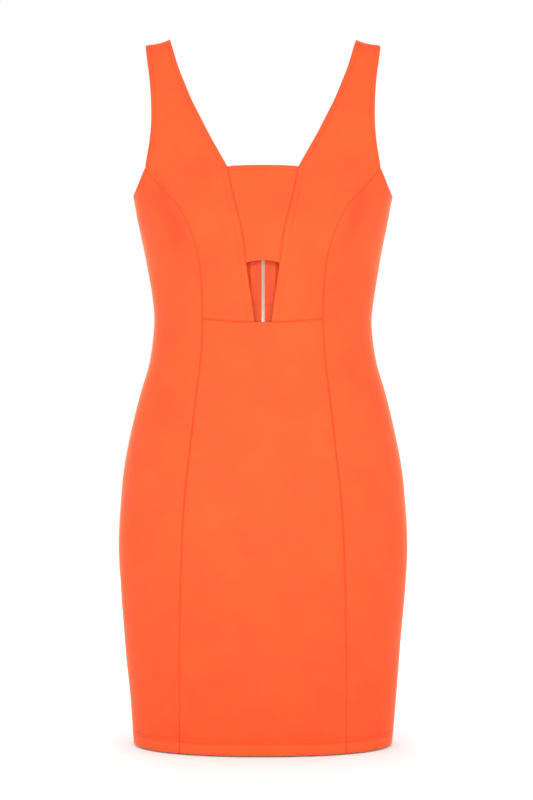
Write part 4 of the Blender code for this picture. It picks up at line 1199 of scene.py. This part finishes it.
def add_tape(name, hand):
    """One tape of the zip, from above the slider to below the end of the slot."""
    outer_edge, inner_edge = (at_x(x, TAPE_TOP, TAPE_BOTTOM) for x in (TAPE_OUTER, TAPE_INNER))
    ends = [level(inner_edge[k][0], outer_edge[k][0], inner_edge[k][1]) for k in (0, -1)]
    panel = new_panel(name, BACK, hand, (inner_edge, outer_edge, *ends), [WHOLE["tape"]] * 4,
                      TAPE_WALL, TAPE_DEPTH, TAPE_SPACING)
    s, t = laid_grid(panel)
    outer, outward = laid(panel, s, t, outer_depth(panel, s, t))
    drop = station(panel, s, t)[..., 1]
    rise, fall = (np.tanh((drop - place) / SWELL_EDGE) for place in (SWELL_TOP, SWELL_BOTTOM))
    inner, _ = laid(panel, s, t, inner_depth(panel, s, t) + SWELL_HEIGHT * (0.5 * (rise - fall)))
    points, faces = closed_shell(outer, inner, outward)
    away = lookup(panel["away"]["left"], s, t).ravel()
    mark = sum(LINE_MARK * np.exp(-((away - line) / LINE_REACH) ** 2) for line in TAPE_LINES)
    mark += WAIST_PAINTED_SHADE * np.exp(-((drop.ravel() - SWELL_BOTTOM) / WAIST_REACH) ** 2)
    flat = np.stack([away, -outer[..., 2].ravel()], -1)
    piece = to_mesh(name + "_woven", points, faces, np.concatenate([flat, flat]),
                    {"seam_shade": np.concatenate([mark, mark])}, tape_cloth)
    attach(piece, "dress")
    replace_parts(piece, name)


add_tape("zip_tape_right", 1)
add_tape("zip_tape_left", -1)

# %% [markdown]
# ## The zip: teeth
# The chain is nickel-plated brass.  Each tooth is stamped with two jaws that clamp the tape's cord
# and a head that meets the teeth of the other side, which sit half a pitch lower.  One tooth is
# modelled from a block: two cuts part jaw, neck and head, the head and the neck are drawn in
# and the edges are softened.  Three hundred copies follow the curve of the back.

# %% Nickel plate
# brass plated with nickel, with handling marks that dull it in places; its pinkish warmth is partly the
# nickel's own and partly a painted reflection of the orange cloth round it
nickel, nickel_shader = new_material("nickel_plated_brass", Metallic=1.0, Roughness=0.45)
metal_place = add_node(nickel, "ShaderNodeTexCoord")
marks = add_node(nickel, "ShaderNodeTexNoise", {"Scale": 420.0, "Detail": 4.0, "Roughness": 0.6},
                 {"Vector": metal_place.outputs["Object"]})
dulling = add_node(nickel, "ShaderNodeMapRange",
                   {"From Min": 0.3, "From Max": 0.75, "To Min": 0.40, "To Max": 0.56},
                   {"Value": marks.outputs["Fac"]})
metal_tone = add_node(nickel, "ShaderNodeMix", {"A": linear("#B9A497"), "B": linear("#9C887B")},
                      {"Factor": marks.outputs["Fac"]}, data_type="RGBA")
nickel.node_tree.links.new(dulling.outputs["Result"], nickel_shader.inputs["Roughness"])
nickel.node_tree.links.new(metal_tone.outputs["Result"], nickel_shader.inputs["Base Color"])


def finish_metal(piece, body="dress"):
    """Nickel on a piece of the zip, which rides on a body."""
    if nickel.name not in piece.data.materials:
        piece.data.materials.append(nickel)
    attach(piece, body)
    return piece


print("material:", nickel.name)

# %% One tooth, and the chain
TOOTH_PITCH = 0.0013            # from one tooth to the next, which belongs to the other side
TAPE_MIDDLE = TAPE_DEPTH + TAPE_WALL / 2
CHAIN_START, CHAIN_END = 0.1574, 0.5585
TOOTH_SIZE, TOOTH_PLACE = (0.0033, 0.00098, 0.0022), (0.00085, 0, 0)
HEAD_END, JAW_START = 0.0002, 0.0009    # the neck lies between, in metres from the chain's middle

tooth = block("tooth", TOOTH_PLACE, TOOTH_SIZE)
cut(((HEAD_END, 0, 0), (1, 0, 0)), ((JAW_START, 0, 0), (1, 0, 0)))
scaled(tooth, lambda place, normal: place.x < -0.0005, (1, 0.72, 0.70))
scaled(tooth, lambda place, normal: 0.0005 < place.x < 0.0012, (1, 0.80, 0.86))
bevelled(tooth, lambda middle, line: abs(line.x) > 0.5, 0.00016, 1)
one_tooth = taken(tooth)
print("one tooth:", len(one_tooth[1]), "faces")


def zip_frames(drops, depth):
    """Frames on the zip's centre line: X across, Y up the zip, Z outward."""
    angle = np.zeros_like(drops)
    points, outward = form_point(BACK, angle, drops), form_normal(BACK, angle, drops)
    points = points + outward * (drape(BACK, points) - depth)[:, None]
    across = np.broadcast_to((-1.0, 0, 0), outward.shape)
    return frames_at(points, across, np.cross(outward, across), outward)


tooth_frames = zip_frames(np.arange(CHAIN_START, CHAIN_END, TOOTH_PITCH), TAPE_MIDDLE)
tooth_frames[1::2, :3, :2] *= -1
teeth = repeated("zip_teeth", one_tooth, tooth_frames, nickel)
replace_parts(finish_metal(teeth), "zip_chain")
print(len(tooth_frames), "teeth,", len(teeth.data.polygons), "faces")

# %% [markdown]
# ## The zip: slider, pull and stops
# The slider has two plates held apart by a wedge, with rails that close the teeth, and a bridge
# on top through which the pull hangs.  It is made lying flat, with X across the zip, Y up it
# and Z outward, and its finished mesh is then moved to its place on the back.  The bridge is
# a small plane swung through half a turn with Spin, which gives its round arch.

# %% Slider
SLIDER_DROP, SLIDER_LENGTH, SLIDER_WIDTH = 0.1595, 0.0110, 0.0084
PLATE, MOUTH = 0.0012, 0.0030
SLIDER_TAPER = 0.74             # width at the lower end over that at the upper


def slider_plate(name, height):
    """One plate of the slider, narrower below and rounded at its corners."""
    plate = block(name, (0, 0, height), (SLIDER_WIDTH, SLIDER_LENGTH, PLATE))
    cut(((0, -0.0008, 0), (0, 1, 0)), ((0, 0.0020, 0), (0, 1, 0)))
    scaled(plate, lambda place, normal: place.y < -0.0007, (SLIDER_TAPER, 1, 1))
    bevelled(plate, lambda middle, line: abs(line.z) > 0.9 and middle.y > 0.004, 0.0014, 4)
    bevelled(plate, lambda middle, line: abs(line.z) > 0.9 and middle.y < -0.004, 0.0008, 3)
    bpy.ops.object.mode_set(mode="OBJECT")
    return plate


slider_parts = [slider_plate("slider_top", MOUTH / 2 + PLATE / 2),
                slider_plate("slider_base", -MOUTH / 2 - PLATE / 2)]
RAIL_SIZE, RAIL_X, RAIL_Y, RAIL_BITE = (0.0007, 0.0046, 0.0008), 0.0027, -0.0030, 0.0003
WEDGE_SIZE, WEDGE_Y = (0.0028, 0.0030, MOUTH + PLATE), 0.0040
for side in (-1, 1):
    for face in (-1, 1):
        slider_parts.append(block(
            "slider_rail", (side * RAIL_X, RAIL_Y, face * (MOUTH / 2 - RAIL_BITE)), RAIL_SIZE))
        bpy.ops.object.mode_set(mode="OBJECT")
wedge = block("slider_wedge", (0, WEDGE_Y, 0), WEDGE_SIZE)
scaled(wedge, lambda place, normal: place.y < 0.003, (0.3, 1, 1))
bpy.ops.object.mode_set(mode="OBJECT")
slider_parts.append(wedge)

BRIDGE_FOOT, BRIDGE_TURN, BRIDGE_CREST = 0.0022, 0.0036, 0.0064
BRIDGE_REACH, BRIDGE_WIDTH, BRIDGE_BAR = 0.0034, 0.0024, 0.0010
bpy.ops.object.select_all(action="DESELECT")
bpy.ops.mesh.primitive_plane_add(size=1, location=(0, BRIDGE_REACH, BRIDGE_FOOT))
bridge = bpy.context.active_object
bpy.ops.object.mode_set(mode="EDIT")
bpy.ops.transform.resize(value=(BRIDGE_WIDTH, BRIDGE_BAR, 1))
bpy.ops.mesh.extrude_region_move(TRANSFORM_OT_translate={"value": (0, 0, BRIDGE_TURN - BRIDGE_FOOT)})
bpy.ops.mesh.spin(steps=12, angle=math.pi, center=(0, 0, BRIDGE_TURN), axis=(1, 0, 0))
settle(bridge)
bpy.ops.object.mode_set(mode="EDIT")
scaled(bridge, lambda place, normal: place.z > BRIDGE_TURN + 0.00005,
       (1, 1, (BRIDGE_CREST - BRIDGE_TURN) / BRIDGE_REACH), center_override=(0, 0, BRIDGE_TURN))
pick(bridge, lambda middle, normal: middle.y < 0 and normal.z < -0.9 and middle.z > BRIDGE_TURN - 0.0001)
bpy.ops.mesh.extrude_region_move(TRANSFORM_OT_translate={"value": (0, 0, BRIDGE_FOOT - BRIDGE_TURN)})
bpy.ops.mesh.select_all(action="SELECT")
bpy.ops.mesh.remove_doubles(threshold=0.00001)
bpy.ops.mesh.normals_make_consistent(inside=False)
bpy.ops.object.mode_set(mode="OBJECT")
slider_parts.append(bridge)

bpy.ops.object.select_all(action="DESELECT")
for part in slider_parts:
    part.select_set(True)
bpy.context.view_layer.objects.active = slider_parts[0]
bpy.ops.object.join()
slider = slider_parts[0]
slider.name = "zip_slider_body"
round_edges(slider, 0.00022)
slider_frame = Matrix(zip_frames(np.array([SLIDER_DROP]), TAPE_MIDDLE)[0])
slider.data.transform(slider_frame)
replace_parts(finish_metal(slider), "zip_slider")
print("slider:", len(slider.data.polygons), "faces")

# %% Pull tab
PULL_WIDTH, PULL_LENGTH, PULL_WALL, PULL_BAR = 0.0072, 0.0290, 0.0014, 0.0016
WINDOW_WIDTH, WINDOW_LENGTH = 0.0036, 0.0056
PULL_PLACE, PULL_RISE = -0.0014, MOUTH / 2 + PLATE + 0.0016     # its bar, from the slider's middle
TIP_LENGTH, PANEL_RIM, PANEL_DEPTH = 0.0024, 0.0008, 0.00025
pull_top = PULL_BAR / 2
window_low, waist_low = -pull_top - WINDOW_LENGTH, pull_top - WINDOW_LENGTH - 2 * PULL_BAR
pull = block("zip_pull_tab", (0, pull_top - PULL_LENGTH / 2, 0), (PULL_WIDTH, PULL_LENGTH, PULL_WALL))
tip_start = pull_top - PULL_LENGTH + TIP_LENGTH
cut(*(((0, y, 0), (0, 1, 0)) for y in (-pull_top, window_low, waist_low, tip_start)),
    *(((x, 0, 0), (1, 0, 0)) for x in (-WINDOW_WIDTH / 2, WINDOW_WIDTH / 2)))
pick(pull, lambda middle, normal: abs(normal.z) > 0.9 and abs(middle.x) < WINDOW_WIDTH / 4
     and window_low < middle.y < -pull_top)
bpy.ops.mesh.bridge_edge_loops()
scaled(pull, lambda place, normal: place.y < waist_low - 0.005, (0.74, 1, 1))
scaled(pull, lambda place, normal: place.y < pull_top - PULL_LENGTH + 0.001, (0.62, 1, 1))
pick(pull, lambda middle, normal: normal.z > 0.9 and -0.0262 < middle.y < waist_low)
bpy.ops.mesh.inset(thickness=PANEL_RIM)
bpy.ops.transform.translate(value=(0, 0, -PANEL_DEPTH))
round_edges(pull, 0.00026)
pull.data.transform(slider_frame @ Matrix.Translation((0, PULL_PLACE, PULL_RISE)))
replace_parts(finish_metal(pull, "zip_pull"), "zip_pull")
print("pull tab:", len(pull.data.polygons), "faces; its bar is at",
      [round(value, 5) for value in slider_frame @ Vector((0, PULL_PLACE, PULL_RISE))])

# %% Stops at the two ends of the chain
stop = block("stop", (0.0017, 0, 0), (0.0016, 0.0026, 0.0024))
round_edges(stop, 0.0003, 1)
one_stop = taken(stop)
STOP_DROPS = (0.1528, 0.5596)
stop_frames = zip_frames(np.repeat(STOP_DROPS, 2), TAPE_MIDDLE)
stop_frames[1::2, :3, :2] *= -1
stops = finish_metal(repeated("zip_stops", one_stop, stop_frames, nickel))
print("four stops in one mesh,", len(stops.data.polygons), "faces")

# %% [markdown]
# ## Light, floor and camera
# The picture is a catalogue shot: a level camera two and a half metres away, a white surround
# and soft light.  Most of it comes from a small lamp beside the lens, which leaves the bust
# brightest and the turned sides and the hem a little deeper; small softboxes above, at both
# sides and behind lift the rest.  The dress stands just clear of a white floor and leaves a
# short soft shadow there.  One large softbox in front would light the sides too evenly.

# %% Camera
CAMERA_DISTANCE, PICTURE_HEIGHT = 2.5, 0.96     # the height of the picture at that distance
CAMERA_X, CAMERA_Z = 0.0042, -0.430
camera = added("camera", bpy.data.cameras.new("camera"))
camera.location = (CAMERA_X, -CAMERA_DISTANCE, CAMERA_Z)
camera.rotation_euler = (math.pi / 2, 0, 0)
camera.data.sensor_width = 36.0
camera.data.lens = camera.data.sensor_width * CAMERA_DISTANCE / PICTURE_HEIGHT
bpy.context.scene.camera = camera
print("lens", camera.data.lens, "mm")

# %% Floor and lights
FLOOR, FLOOR_SIZE = -0.8418, 400
bpy.ops.object.select_all(action="DESELECT")
bpy.ops.mesh.primitive_plane_add(size=FLOOR_SIZE, location=(0, 0, FLOOR))
floor = bpy.context.active_object
floor.name = "studio_floor"
# matt white paper, as photographers roll it out
floor_paint, _ = new_material(
    "white_studio_floor", Roughness=1.0, Base_Color=linear("#FFFFFF"), Specular_IOR_Level=0.0)
floor.data.materials.append(floor_paint)

scene = bpy.context.scene
scene.view_settings.view_transform = "Standard"
scene.world = bpy.data.worlds.new("studio")
scene.world.use_nodes = True
surround = scene.world.node_tree.nodes["Background"].inputs
surround["Color"].default_value, surround["Strength"].default_value = (1, 1, 1, 1), 1.0
DRESS_MIDDLE = (0, 0, -0.45)


def add_light(name, kind, place, aim, watts, **settings):
    """A light that faces a point, with the settings of its kind."""
    light = bpy.data.lights.new(name, kind)
    light.energy = watts
    for setting, value in settings.items():
        setattr(light, setting, value)
    lamp = added(name, light)
    lamp.location = place
    lamp.rotation_euler = (Vector(aim) - Vector(place)).to_track_quat("-Z", "Y").to_euler()


add_light("lens_lamp", "SPOT", (0, -2.62, -0.40), (0, 0, -0.26), 268,
          shadow_soft_size=0.09, spot_size=math.radians(36), spot_blend=1.0)
add_light("high_softbox", "AREA", (0.1, -1.5, 1.25), DRESS_MIDDLE, 5, size=1.5)
add_light("back_softbox", "AREA", (-0.3, 2.3, 0.2), DRESS_MIDDLE, 17, size=1.5)
for side in (-1, 1):
    add_light("side_softbox", "AREA", (side * 2.2, -0.5, -0.45), DRESS_MIDDLE, 8, size=1.2)
